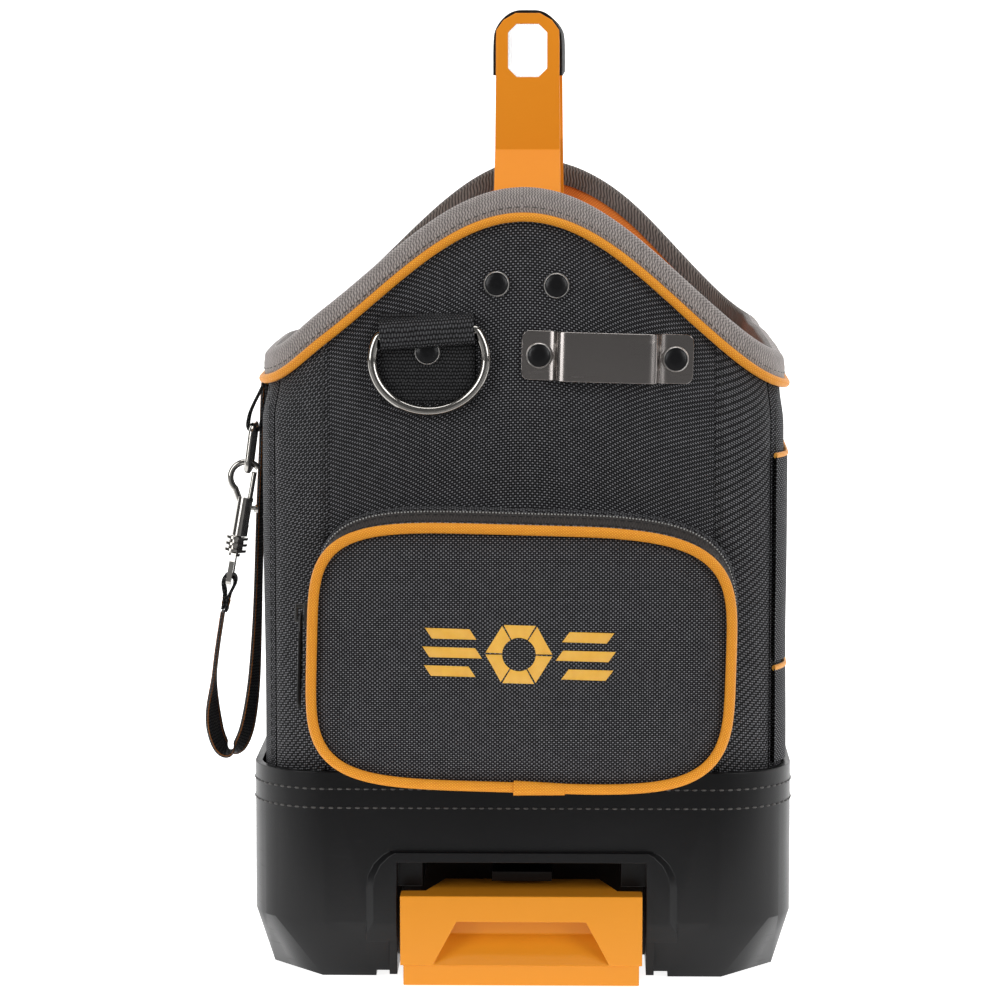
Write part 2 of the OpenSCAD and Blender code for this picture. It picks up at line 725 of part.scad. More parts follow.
function bar_outline(g) = [
    [6 + g * 0.4, bar_top + g], [12 + g * 0.7, bar_top - 3.4 + g * 0.8],
    [bar_w / 2 - 0.2 + g, bar_top - 8.4 + g * 0.4], [bar_w / 2 + g, bar_top - 14.4],
    [bar_w / 2 + g, 450], [11 + g, 442 - g], [-11 - g, 442 - g], [-bar_w / 2 - g, 450],
    [-bar_w / 2 - g, bar_top - 14.4], [-bar_w / 2 + 0.2 - g, bar_top - 8.4 + g * 0.4],
    [-12 - g * 0.7, bar_top - 3.4 + g * 0.8], [-6 - g * 0.4, bar_top + g]];

module along_y(y0, y1) {
    translate([0, y1, 0]) rotate([90, 0, 0]) linear_extrude(y1 - y0) children();
}

module handle_leg() {
    intersection() {
        rotate([90, 0, 90]) linear_extrude(80, center = true) polygon([
            [-leg_face, leg_foot_z], [-leg_face, leg_bend_z], [-leg_y, leg_up_z], [-leg_y, 482],
            [-leg_y + leg_t, 482], [-leg_y + leg_t, leg_up_z - 2], [-leg_face + leg_t, leg_bend_z - 3],
            [-leg_face + leg_t, leg_foot_z]]);
        along_y(-200, -100) polygon([
            [26, leg_foot_z], [26, 361], [16.6, 377], [bar_w / 2, 450], [bar_w / 2, bar_top - 14.4],
            [bar_w / 2 - 0.2, bar_top - 8.4], [12, bar_top - 3.4], [6, bar_top],
            [-6, bar_top], [-12, bar_top - 3.4], [-bar_w / 2 + 0.2, bar_top - 8.4],
            [-bar_w / 2, bar_top - 14.4], [-bar_w / 2, 450], [-16.6, 377], [-26, 361],
            [-26, leg_foot_z]]);
    }
}

module handle_frame() {
    c = 4.2;
    color([0.93, 0.5, 0.12]) difference() {
        translate([peak_x, 0, 0]) union() {
            handle_leg();
            mirror([0, 1, 0]) handle_leg();
            along_y(-leg_y + 2, leg_y - 2) polygon(bar_outline(0));
        }
        translate([peak_x, 0, 0]) along_y(-200, 200) polygon([
            [win_hw, win_z[0] + c], [win_hw, win_z[1] - c], [win_hw - c, win_z[1]], [-win_hw + c, win_z[1]],
            [-win_hw, win_z[1] - c], [-win_hw, win_z[0] + c], [-win_hw + c, win_z[0]], [win_hw - c, win_z[0]]]);
        for (x = handle_rivet_x) hole_y(x, handle_rivet_z, -200, 200);
    }
}

module handle_grip() {
    color([0.05, 0.05, 0.05]) translate([peak_x, 0, 0]) difference() {
        along_y(-leg_y + leg_t + 4, leg_y - leg_t - 4) polygon(bar_outline(1.6));
        along_y(-200, 200) polygon(bar_outline(0.1));
        translate([-50, -200, 400]) cube([100, 400, 49.5]);
    }
}

module handle_backing_plates() {
    color("silver") for (m = [0, 1]) mirror([0, m, 0]) difference() {
        translate([peak_x - 24, -leg_face + leg_t + 0.2, handle_rivet_z - 11]) cube([48, 2, 22]);
        for (x = handle_rivet_x) hole_y(x, handle_rivet_z, -200, -170);
    }
}

module handle_rivets() {
    color([0.1, 0.1, 0.1]) for (m = [0, 1]) mirror([0, m, 0])
        for (x = handle_rivet_x)
            rivet(x, handle_rivet_z, front_y - 0.1, -leg_face + leg_t + 2.3);
}

// ---------- tape strap with its snap hook ----------

module across_y(w) { translate([0, ring_y + w / 2, 0]) rotate([90, 0, 0]) linear_extrude(w) children(); }

module strap_anchor_loop() {
    c = ring_top;
    color([0.06, 0.06, 0.06]) across_y(14) difference() {
        polygon(concat([[-131.3, 296], [-133.2, 296]], arc(c[0], c[1], 3.7, 158, 352, 12), [[-131.3, 286]]));
        polygon(concat([[-133, 288]], arc(c[0], c[1], 2.3, 158, 352, 12)));
    }
}

module bend(r, wire) { rotate_extrude(angle = 90) translate([r, 0]) circle(r = wire, $fn = 24); }

// Closed rounded-rectangle ring in the XY plane, w by h between wire centres.
module wire_ring(w, h, r, wire) {
    for (k = [0:3]) rotate([0, 0, 90 * k])
        translate([(k % 2 == 0 ? w : h) / 2 - r, (k % 2 == 0 ? h : w) / 2 - r, 0]) bend(r, wire);
    for (s = [-1, 1]) {
        translate([s * w / 2, 0, 0]) rotate([90, 0, 0]) cylinder(r = wire, h = h - 2 * r, center = true, $fn = 24);
        translate([0, s * h / 2, 0]) rotate([0, 90, 0]) cylinder(r = wire, h = w - 2 * r, center = true, $fn = 24);
    }
}

module strap_ring() {
    color([0.7, 0.69, 0.67]) translate([ring_top[0], ring_y, ring_top[1]]) rotate([0, ring_lean, 0])
        translate([0, 0, -ring_drop / 2]) rotate([90, 0, 90]) wire_ring(21, ring_drop, 5, ring_wire);
}

// Hook frame: local origin above the ring's bar, hook axis along -Z.
module hook_frame() {
    translate([hook_bar[0], ring_y, hook_bar[1]]) rotate([0, hook_lean, 0])
        translate([0, 0, hook_sit]) children();
}

bolt_x = 3.2;
bolt_r = 1.3;
barrel_top = -20;
barrel_end = -40;
stud_end = -49.6;
eye_bar = -64;

module snap_hook_body() {
    color([0.72, 0.71, 0.69]) hook_frame() difference() {
        union() {
            // open hook: an arc from the barrel round the left and over the top to the bolt
            translate([-0.6, 0, -2 - hook_r]) rotate([90, 0, 0]) rotate([0, 0, 46])
                rotate_extrude(angle = 190) translate([hook_r, 0]) circle(r = hook_wire, $fn = 24);
            translate([-5.07, 0, -16.63]) sphere(r = hook_wire + 0.05, $fn = 24);
            translate([-5.07, 0, -16.63]) rotate([0, 150, 0]) cylinder(r = hook_wire, h = 6.5, $fn = 24);
            translate([1, 0, barrel_end]) cylinder(r = 4, h = barrel_top - barrel_end);
            translate([0, 0, stud_end]) cylinder(r = 2, h = barrel_end - stud_end + 1);
            translate([0, 0, stud_end - 1.4]) cylinder(r = 3, h = 1.5);
        }
        translate([bolt_x, 0, barrel_end + 1.5]) cylinder(r = bolt_r + 0.07, h = 30);
        translate([bolt_x, -1.5, barrel_end + 6]) cube([6, 3, 12]);
    }
}

module snap_hook_bolt() {
    color([0.78, 0.77, 0.75]) hook_frame() {
        translate([bolt_x, 0, -32]) cylinder(r = bolt_r, h = 25.6);
        translate([bolt_x, 0, -25]) rotate([0, 90, 0]) cylinder(r = 1.2, h = 5.4);
        translate([bolt_x + 3.2, 0, -25]) rotate([0, 90, 0]) cylinder(r = 2, h = 2.2);
    }
}

module snap_hook_spring() {
    color("dimgray") hook_frame() translate([bolt_x, 0, 0])
        sweep([for (i = [0:32]) let (a = 45 * i) [0.75 * cos(a), 0.75 * sin(a), -32.5 - 5.4 * i / 32]],
              round_section(0.25, 5), [0, 0, 1]);
}

module snap_hook_eye() {
    color([0.72, 0.71, 0.69]) hook_frame() difference() {
        union() {
            // ribbed swivel collar
            translate([0, 0, -49]) cylinder(r = 3.8, h = 8.6);
            for (z = [-42, -45.2, -48.4]) translate([0, 0, z]) cylinder(r = 5.8, h = 1.4);
            // flat eye in the YZ plane
            rotate([90, 0, 90]) linear_extrude(2.6, center = true) difference() {
                polygon([[-3.7, -47], [-9, -53], [-9, eye_bar + 0.5], [-7.6, eye_bar - 1.3],
                         [7.6, eye_bar - 1.3], [9, eye_bar + 0.5], [9, -53], [3.7, -47]]);
                polygon([[-3.2, -49.2], [-6.6, -54], [-6.6, eye_bar + 1.3], [6.6, eye_bar + 1.3],
                         [6.6, -54], [3.2, -49.2]]);
            }
        }
        translate([0, 0, -52.4]) cylinder(r = 3.3, h = 3.4);
        translate([0, 0, -53]) cylinder(r = 2.07, h = 20);
    }
}

module strap_end_loop() {
    color([0.06, 0.06, 0.06]) hook_frame() rotate([90, 0, 0]) linear_extrude(strap_w, center = true)
        difference() {
            polygon(concat(arc(0, eye_bar, 3.7, -25, 205, 14), [[-1.9, eye_bar - 5], [-1.9, eye_bar - 13.4],
                           [1.9, eye_bar - 13.4], [1.9, eye_bar - 5]]));
            translate([0, eye_bar]) circle(r = 2.2, $fn = 24);
        }
}

module tape_strap() {
    color([0.05, 0.05, 0.05]) sweep(strap_route, flat_section(strap_t, strap_w), [0, 1, 0]);
}

base_tub();
base_bottom_cover();
base_cover_screws();
latch_block();
latch_guide_screws();
latch_washers();
latch_springs();
floor_board();
front_end_panel();
rear_end_panel();
corner_panels();
left_side_panel();
right_side_panel();
inner_lining();
rim_binding();
rim_piping();
left_inner_pockets();
right_inner_pockets();
right_upper_pockets();
right_lower_pockets();
left_upper_pockets();
left_lower_pockets();
side_pocket_trims();
rear_pocket();
rear_pocket_trim();
pocket_gusset();
pocket_zipper_tape();
pocket_face();
pocket_piping();
pocket_emblem();
zipper_slider();
zipper_pull();
d_ring();
d_ring_webbing();
d_ring_rivet();
tape_clip();
tape_clip_rivets();
handle_frame();
handle_grip();
handle_rivets();
handle_backing_plates();
strap_anchor_loop();
strap_ring();
snap_hook_body();
snap_hook_bolt();
snap_hook_spring();
snap_hook_eye();
strap_end_loop();
tape_strap();
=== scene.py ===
import json
import math
import random

import bmesh
import bpy
from mathutils import Matrix, Vector, noise


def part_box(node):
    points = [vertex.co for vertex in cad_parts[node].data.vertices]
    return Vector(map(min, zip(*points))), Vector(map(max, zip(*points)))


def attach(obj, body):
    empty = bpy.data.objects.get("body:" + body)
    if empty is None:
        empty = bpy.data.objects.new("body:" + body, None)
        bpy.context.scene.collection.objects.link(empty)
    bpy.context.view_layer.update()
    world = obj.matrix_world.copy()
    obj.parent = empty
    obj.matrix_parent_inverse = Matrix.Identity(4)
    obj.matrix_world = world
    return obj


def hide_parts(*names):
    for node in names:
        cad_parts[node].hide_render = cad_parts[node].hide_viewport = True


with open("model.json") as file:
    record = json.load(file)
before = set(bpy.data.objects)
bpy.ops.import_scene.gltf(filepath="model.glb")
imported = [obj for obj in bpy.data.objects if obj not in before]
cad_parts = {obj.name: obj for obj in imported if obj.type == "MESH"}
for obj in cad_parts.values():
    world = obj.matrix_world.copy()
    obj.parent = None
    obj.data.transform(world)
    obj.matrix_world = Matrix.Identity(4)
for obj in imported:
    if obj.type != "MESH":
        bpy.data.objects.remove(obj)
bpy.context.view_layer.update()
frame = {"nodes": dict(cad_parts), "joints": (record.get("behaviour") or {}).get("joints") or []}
nodes = frame["nodes"]
scene = bpy.context.scene
scene.view_settings.view_transform = "Standard"
random.seed(12)

# Main sizes of the bag, in metres, as in the frame.
bag = {"halfWidth": 0.131, "halfLength": 0.194, "corner": 0.036, "panel": 0.004, "lining": 0.0015, "gap": 0.0003}
rim = {"low": 0.299, "rise": 0.082, "span": 0.140, "power": 0.876, "fall": math.radians(1.5),
       "band": 0.0145, "peak": 0.0022, "pullRight": 0.0020, "pullLeft": 0.0032}
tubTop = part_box("base_tub")[1][2]
frontFace = -bag["halfLength"]

view = {"place": (0.029, -2.2, 0.465), "lens": 147.2, "down": 6.36, "left": 1.137}
cameraData = bpy.data.cameras.new("camera")
cameraData.lens = view["lens"]
camera = bpy.data.objects.new("camera", cameraData)
camera.location = view["place"]
camera.rotation_euler = (math.radians(90 - view["down"]), 0, math.radians(view["left"]))
scene.collection.objects.link(camera)
scene.camera = camera


def mix(a, b, t):
    return a + (b - a) * t


def ease(low, high, x):
    t = min(max((x - low) / (high - low), 0), 1)
    return t * t * (3 - 2 * t)


def newPiece(name, points, faces, uvs=None, sharp=40):
    mesh = bpy.data.meshes.new(name)
    mesh.from_pydata(points, [], faces)
    if uvs:
        layer = mesh.uv_layers.new(name="weave")
        for loop, uv in zip(layer.data, [uv for face in uvs for uv in face]):
            loop.uv = uv
    mesh.validate()
    work = bmesh.new()
    work.from_mesh(mesh)
    bmesh.ops.recalc_face_normals(work, faces=work.faces)
    work.to_mesh(mesh)
    work.free()
    mesh.shade_smooth()
    mesh.set_sharp_from_angle(angle=math.radians(sharp))
    piece = bpy.data.objects.new(name, mesh)
    scene.collection.objects.link(piece)
    return piece


# A grid of points in columns and rows. Rows can close into rings, and columns round the whole object.
def gridFaces(columns, rows, loopColumns=False, loopRows=False, caps=False):
    faces, corners = [], []
    for i in range(columns if loopColumns else columns - 1):
        for j in range(rows if loopRows else rows - 1):
            across, up = (i + 1) % columns, (j + 1) % rows
            faces.append((i * rows + j, across * rows + j, across * rows + up, i * rows + up))
            corners.append(((i, j), (i + 1, j), (i + 1, j + 1), (i, j + 1)))
    if caps:
        for i in (0, columns - 1):
            faces.append(tuple(i * rows + j for j in range(rows)))
            corners.append(tuple((i, j) for j in range(rows)))
    return faces, corners


def gridPiece(name, columns, rows, place, uvAt, sharp=40, **loops):
    points = [place(i, j) for i in range(columns) for j in range(rows)]
    faces, corners = gridFaces(columns, rows, **loops)
    return newPiece(name, points, faces, [[uvAt(i, j) for i, j in face] for face in corners], sharp)


# A sheet of cloth with thickness: surface(u, v) gives a point and its outward normal, size is the uv span in metres.
def clothSheet(name, columns, rows, surface, thick, size, loopColumns=False, sharp=40, turned=False):
    steps = columns if loopColumns else columns - 1
    grid = [[surface(i / steps, j / (rows - 1)) for j in range(rows)] for i in range(columns)]

    def place(i, j):
        outer = j < rows
        point, normal = grid[i][j if outer else 2 * rows - 1 - j]
        return point if outer else point - normal * thick

    def uvAt(i, j):
        j = j % (2 * rows)
        row = j if j < rows else 2 * rows - 1 - j
        uv = (i / steps * size[0], row / (rows - 1) * size[1])
        return (uv[1], uv[0]) if turned else uv

    return gridPiece(name, columns, 2 * rows, place, uvAt, sharp,
                     loopColumns=loopColumns, loopRows=True, caps=not loopColumns)


# A section swept along points. up is never parallel to the path; lift(t) scales the section.
def sweepPiece(name, path, section, up, closed=False, sharp=40, lift=None):
    count, sides = len(path), len(section)
    frames, along = [], [0.0]
    for i, point in enumerate(path):
        before = path[i - 1] if (closed or i) else point
        after = path[(i + 1) % count] if (closed or i < count - 1) else point
        forward = (after - before).normalized()
        upNow = up(i / (count - 1)) if callable(up) else up
        side = forward.cross(upNow).normalized()
        frames.append((side, side.cross(forward)))
        along.append(along[-1] + (path[(i + 1) % count] - point).length)

    def place(i, j):
        side, above = frames[i]
        grow = lift(i / count) if lift else 1.0
        return path[i] + side * section[j][0] * grow + above * section[j][1] * grow

    girth = [0.0]
    for j in range(sides):
        girth.append(girth[-1] + math.dist(section[j], section[(j + 1) % sides]))
    return gridPiece(name, count, sides, place, lambda i, j: (along[i], girth[j]), sharp,
                     loopColumns=closed, loopRows=True, caps=not closed)


def ovalSection(thick, wide, sides=12):
    return [(thick * math.cos(2 * math.pi * k / sides), wide * math.sin(2 * math.pi * k / sides)) for k in range(sides)]


def roundSection(radius, sides):
    return ovalSection(radius, radius, sides)


def flatSection(thick, wide, soft=0.0004):
    a, b = thick / 2, wide / 2
    left = [(-a + soft, b), (-a, b - soft), (-a, 0), (-a, -b + soft), (-a + soft, -b)]
    return [(a - soft, b)] + left + [(a - soft, -b), (a, -b + soft), (a, 0), (a, b - soft)]


# A turned shape: the profile holds radius and height, and the uv's first value is the radius.
def turnedShape(profile, sides=40):
    around = [2 * math.pi * i / sides for i in range(sides)]
    points = [(r * math.cos(a), r * math.sin(a), h) for a in around for r, h in profile]
    faces, corners = gridFaces(sides, len(profile), loopColumns=True)
    uvs = [[(profile[j][0], 0.0) for i, j in face] for face in corners]
    return points, faces, uvs


def smoothPath(points, steps):
    out = []
    for k in range(len(points) - 1):
        p0, p1, p2, p3 = (points[min(max(k + d, 0), len(points) - 1)] for d in (-1, 0, 1, 2))
        slope, bend, turn = p2 - p0, 2 * p0 - 5 * p1 + 4 * p2 - p3, 3 * p1 - 3 * p2 + p3 - p0
        for t in (n / steps for n in range(steps)):
            out.append(0.5 * (2 * p1 + slope * t + bend * t * t + turn * t ** 3))
    return out + [points[-1].copy()]


def roundedCorners(points, passes):
    for _ in range(passes):
        cut = [points[0]]
        for a, b in zip(points, points[1:]):
            cut += [a.lerp(b, 0.25), a.lerp(b, 0.75)]
        points = cut + [points[-1]]
    return points


def evenly(points, pitch):
    lengths = [0.0]
    for a, b in zip(points, points[1:]):
        lengths.append(lengths[-1] + (b - a).length)
    count = max(int(lengths[-1] / pitch), 1)
    out, k = [], 0
    for n in range(count + 1):
        at = lengths[-1] * n / count
        while k < len(points) - 2 and lengths[k + 1] < at:
            k += 1
        out.append(points[k].lerp(points[k + 1], (at - lengths[k]) / max(lengths[k + 1] - lengths[k], 1e-9)))
    return out


# The point and direction at u, from 0 to 1, along evenly spaced points; reach is how far the direction looks.
def pointAlong(line, u, reach=1):
    last = len(line) - 1
    k = int(u * last)
    point = line[k].lerp(line[min(k + 1, last)], u * last - k)
    return point, (line[min(k + reach, last)] - line[max(k - reach, 0)]).normalized()


# Many small copies of a shape in one mesh: each place is a 4x4 matrix.
def manyCopies(name, shape, places, sharp=60):
    base, faces = shape
    points = [m @ Vector(p) for m in places for p in base]
    allFaces = [tuple(v + k * len(base) for v in face) for k in range(len(places)) for face in faces]
    uvs = [[(base[v][0], base[v][1]) for v in face] for _ in places for face in faces]
    return newPiece(name, points, allFaces, uvs, sharp)


def boxShape(x, y, z, taper=0.75):
    base = [(sx * x / 2, sy * y / 2, 0) for sx, sy in ((-1, -1), (1, -1), (1, 1), (-1, 1))]
    top = [(px * taper, py * taper, z) for px, py, _ in base]
    sides = [(k, (k + 1) % 4, 4 + (k + 1) % 4, 4 + k) for k in range(4)]
    return base + top, [(3, 2, 1, 0), (4, 5, 6, 7)] + sides


def stitchShape(length, radius):
    points, rings = [], [(-0.5, 0.25), (-0.36, 0.85), (0.0, 1.0), (0.36, 0.85), (0.5, 0.25)]
    for at, size in rings:
        sink = radius * (0.5 - 0.5 * size)
        points += [(at * length, radius * size * math.cos(a), radius * size * math.sin(a) - sink)
                   for a in (math.pi * k / 3 for k in range(6))]
    faces = [(r + k, r + (k + 1) % 6, r + 6 + (k + 1) % 6, r + 6 + k) for r in (0, 6, 12, 18) for k in range(6)]
    return points, faces + [(5, 4, 3, 2, 1, 0), tuple(24 + k for k in range(6))]


def facing(point, ahead, normal):
    x = ahead.normalized()
    z = (normal - x * normal.dot(x)).normalized()
    y = z.cross(x)
    return Matrix.Translation(point) @ Matrix((x, y, z)).transposed().to_4x4()


# Thread stitches along a path; normalAt(point) says which way the cloth faces.
def stitchRow(path, normalAt, length, gap):
    even = evenly(path, length + gap)
    return [facing(a.lerp(b, 0.5), b - a, normalAt(a.lerp(b, 0.5))) for a, b in zip(even, even[1:])]


def addNode(tree, kind, inputs=(), **settings):
    made = tree.nodes.new(kind)
    for key, value in settings.items():
        setattr(made, key, value)
    for key, value in dict(inputs).items():
        socket = made.inputs[key]
        if isinstance(value, bpy.types.NodeSocket):
            tree.links.new(value, socket)
        else:
            socket.default_value = value
    return made


def calc(tree, operation, *values, clamp=False):
    made = tree.nodes.new("ShaderNodeMath")
    made.operation = operation
    made.use_clamp = clamp
    for socket, value in zip(made.inputs, values):
        if isinstance(value, bpy.types.NodeSocket):
            tree.links.new(value, socket)
        else:
            socket.default_value = value
    return made.outputs[0]


def newGroup(name, inputs, outputs):
    group = bpy.data.node_groups.new(name, "ShaderNodeTree")
    for label, kind, default in inputs:
        socket = group.interface.new_socket(label, in_out="INPUT", socket_type=kind)
        if default is not None:
            socket.default_value = default
    for label in outputs:
        group.interface.new_socket(label, in_out="OUTPUT", socket_type="NodeSocketFloat")
    return group, group.nodes.new("NodeGroupInput"), group.nodes.new("NodeGroupOutput")


# Woven threads pass over and under each other in cells of the given size, in metres; Steps sets how the twill runs.
def makeWeaveGroup():
    group, given, out = newGroup("threadWeave", [
        ("Vector", "NodeSocketVector", None), ("Across", "NodeSocketFloat", 0.0011), ("Up", "NodeSocketFloat", 0.0011),
        ("Unevenness", "NodeSocketFloat", 0.3), ("Steps", "NodeSocketFloat", 2.0)], ["Height", "Shine"])
    loose = addNode(group, "ShaderNodeTexNoise", {"Vector": given.outputs["Vector"], "Scale": 70.0, "Detail": 2.0})
    parts = addNode(group, "ShaderNodeSeparateXYZ", {"Vector": given.outputs["Vector"]})
    wobble = calc(group, "MULTIPLY", calc(group, "SUBTRACT", loose.outputs["Fac"], 0.5), given.outputs["Unevenness"])
    u = calc(group, "ADD", calc(group, "DIVIDE", parts.outputs["X"], given.outputs["Across"]), wobble)
    v = calc(group, "ADD", calc(group, "DIVIDE", parts.outputs["Y"], given.outputs["Up"]), wobble)
    step = calc(group, "FRACT",
                calc(group, "DIVIDE", calc(group, "ADD", calc(group, "FLOOR", u), calc(group, "FLOOR", v)),
                     given.outputs["Steps"]))
    over = calc(group, "LESS_THAN", step, 0.4)
    arcU = calc(group, "SINE", calc(group, "MULTIPLY", calc(group, "FRACT", u), math.pi))
    arcV = calc(group, "SINE", calc(group, "MULTIPLY", calc(group, "FRACT", v), math.pi))
    weft = calc(group, "MULTIPLY", calc(group, "POWER", arcV, 0.9),
                calc(group, "MULTIPLY_ADD", calc(group, "POWER", arcU, 0.5), 0.75, 0.25))
    warp = calc(group, "MULTIPLY", calc(group, "POWER", arcU, 1.2), calc(group, "MULTIPLY_ADD", arcV, 0.35, 0.2))
    height = calc(group, "ADD", calc(group, "MULTIPLY", weft, over),
                  calc(group, "MULTIPLY", warp, calc(group, "SUBTRACT", 1.0, over)))
    group.links.new(height, out.inputs["Height"])
    group.links.new(calc(group, "POWER", height, 2.4, clamp=True), out.inputs["Shine"])
    return group


# Ribbed webbing: ribs lie across the tape's length, each made of slanted strands that step from rib to rib.
def makeRibGroup():
    group, given, out = newGroup("webbingRibs", [
        ("Vector", "NodeSocketVector", None), ("Rib", "NodeSocketFloat", 0.0014), ("Thread", "NodeSocketFloat", 0.0013),
        ("Lean", "NodeSocketFloat", 0.4), ("Strands", "NodeSocketFloat", 0.5)], ["Height", "Shine"])
    parts = addNode(group, "ShaderNodeSeparateXYZ", {"Vector": given.outputs["Vector"]})
    loose = addNode(group, "ShaderNodeTexNoise", {"Vector": given.outputs["Vector"], "Scale": 120.0, "Detail": 1.0})
    y = calc(group, "DIVIDE", parts.outputs["Y"], given.outputs["Thread"])
    x = calc(group, "DIVIDE", parts.outputs["X"], given.outputs["Rib"])
    u = calc(group, "ADD", calc(group, "MULTIPLY_ADD", calc(group, "PINGPONG", y, 1.0), given.outputs["Lean"], x),
             calc(group, "MULTIPLY", loose.outputs["Fac"], 0.5))
    v = calc(group, "MULTIPLY_ADD", calc(group, "FLOOR", u), 0.5, y)
    rib = calc(group, "POWER", calc(group, "SINE", calc(group, "MULTIPLY", calc(group, "FRACT", u), math.pi)), 0.8)
    strand = calc(group, "SINE", calc(group, "MULTIPLY", calc(group, "FRACT", v), math.pi))
    cut = calc(group, "MULTIPLY_ADD", calc(group, "SUBTRACT", strand, 1.0), given.outputs["Strands"], 1.0)
    height = calc(group, "MULTIPLY", rib, cut)
    group.links.new(height, out.inputs["Height"])
    group.links.new(calc(group, "POWER", height, 1.5, clamp=True), out.inputs["Shine"])
    return group


# Grain of moulded or coated surfaces, with broad cloudiness and faint scuffs.
def makeGrainGroup():
    group, given, out = newGroup("surfaceGrain", [
        ("Vector", "NodeSocketVector", None), ("Size", "NodeSocketFloat", 0.0006)], ["Grain", "Cloud", "Scuff"])
    scale = calc(group, "DIVIDE", 1.0, given.outputs["Size"])
    grain = addNode(group, "ShaderNodeTexNoise", {"Vector": given.outputs["Vector"], "Scale": scale, "Detail": 3.0})
    cloud = addNode(group, "ShaderNodeTexNoise", {"Vector": given.outputs["Vector"], "Scale": 14.0, "Detail": 4.0})
    stretch = addNode(group, "ShaderNodeMapping",
                      {"Vector": given.outputs["Vector"], "Scale": (60.0, 60.0, 700.0), "Rotation": (0.3, 0.5, 0.2)})
    scratch = addNode(group, "ShaderNodeTexNoise", {"Vector": stretch.outputs["Vector"], "Scale": 1.0, "Detail": 2.0})
    scuff = calc(group, "MULTIPLY", calc(group, "SUBTRACT", scratch.outputs["Fac"], 0.62, clamp=True), 6.0, clamp=True)
    for label, value in (("Grain", grain.outputs["Fac"]), ("Cloud", cloud.outputs["Fac"]), ("Scuff", scuff)):
        group.links.new(value, out.inputs[label])
    return group


weaveGroup, ribGroup, grainGroup = makeWeaveGroup(), makeRibGroup(), makeGrainGroup()


def startMaterial(name, roughness, metallic=0.0, **shader):
    material = bpy.data.materials.new(name)
    material.use_nodes = True
    tree = material.node_tree
    surface = tree.nodes["Principled BSDF"]
    surface.inputs["Roughness"].default_value = roughness
    surface.inputs["Metallic"].default_value = metallic
    for key, value in shader.items():
        surface.inputs[key.replace("_", " ")].default_value = value
    return material, tree, surface


def blendColors(tree, factor, a, b):
    made = addNode(tree, "ShaderNodeMix", data_type="RGBA")
    tree.links.new(factor, made.inputs["Factor"])
    for key, value in (("A", a), ("B", b)):
        socket = next(s for s in made.inputs if s.name == key and s.type == "RGBA")
        if isinstance(value, bpy.types.NodeSocket):
            tree.links.new(value, socket)
        else:
            socket.default_value = (*value, 1)
    return next(s for s in made.outputs if s.type == "RGBA")


def addBump(tree, surface, height, distance, strength=1.0):
    bump = addNode(tree, "ShaderNodeBump", {"Strength": strength, "Distance": distance, "Height": height})
    tree.links.new(bump.outputs["Normal"], surface.inputs["Normal"])


def useGroup(tree, group, vector, **values):
    made = addNode(tree, "ShaderNodeGroup", node_tree=group)
    tree.links.new(vector, made.inputs["Vector"])
    for key, value in values.items():
        made.inputs[key].default_value = value
    return made


def clothMaterial(name, dark, light, across, up, depth, roughness=0.62, group=weaveGroup, sheen=0.02, gloss=0.3,
                  **values):
    material, tree, surface = startMaterial(name, roughness, Sheen_Weight=sheen, Sheen_Roughness=0.4,
                                            Specular_IOR_Level=gloss)
    uv = addNode(tree, "ShaderNodeUVMap", uv_map="weave").outputs["UV"]
    place = addNode(tree, "ShaderNodeTexCoord").outputs["Object"]
    sizes = {"Across": across, "Up": up} if group is weaveGroup else {"Rib": across, "Thread": up}
    weave = useGroup(tree, group, uv, **sizes, **values)
    clouds = useGroup(tree, grainGroup, place, Size=0.004)
    # The base colour runs from the dark tone in the gaps between threads to the light tone on the thread crowns:
    # painted shade and painted highlight.
    shade = calc(tree, "MULTIPLY", weave.outputs["Shine"], calc(tree, "MULTIPLY_ADD", clouds.outputs["Grain"], 0.8, 0.6),
                 clamp=True)
    tree.links.new(blendColors(tree, shade, dark, light), surface.inputs["Base Color"])
    rough = calc(tree, "SUBTRACT", roughness, calc(tree, "MULTIPLY", weave.outputs["Shine"], 0.2))
    tree.links.new(rough, surface.inputs["Roughness"])
    addBump(tree, surface, weave.outputs["Height"], depth)
    return material


def mouldedMaterial(name, color, worn, roughness, grainSize=0.0006, depth=0.00004, coat=0.0, metallic=0.0, **shader):
    material, tree, surface = startMaterial(name, roughness, metallic, Coat_Weight=coat, Coat_Roughness=0.25, **shader)
    place = addNode(tree, "ShaderNodeTexCoord").outputs["Object"]
    grain = useGroup(tree, grainGroup, place, Size=grainSize)
    base = blendColors(tree, calc(tree, "MULTIPLY", grain.outputs["Cloud"], 0.35), color, worn)
    marked = blendColors(tree, calc(tree, "MULTIPLY", grain.outputs["Scuff"], 0.25), base, worn)
    tree.links.new(marked, surface.inputs["Base Color"])
    rough = calc(tree, "ADD", calc(tree, "MULTIPLY_ADD", grain.outputs["Cloud"], 0.16, roughness - 0.08),
                 calc(tree, "MULTIPLY", grain.outputs["Scuff"], 0.1))
    tree.links.new(rough, surface.inputs["Roughness"])
    addBump(tree, surface, grain.outputs["Grain"], depth)
    return material


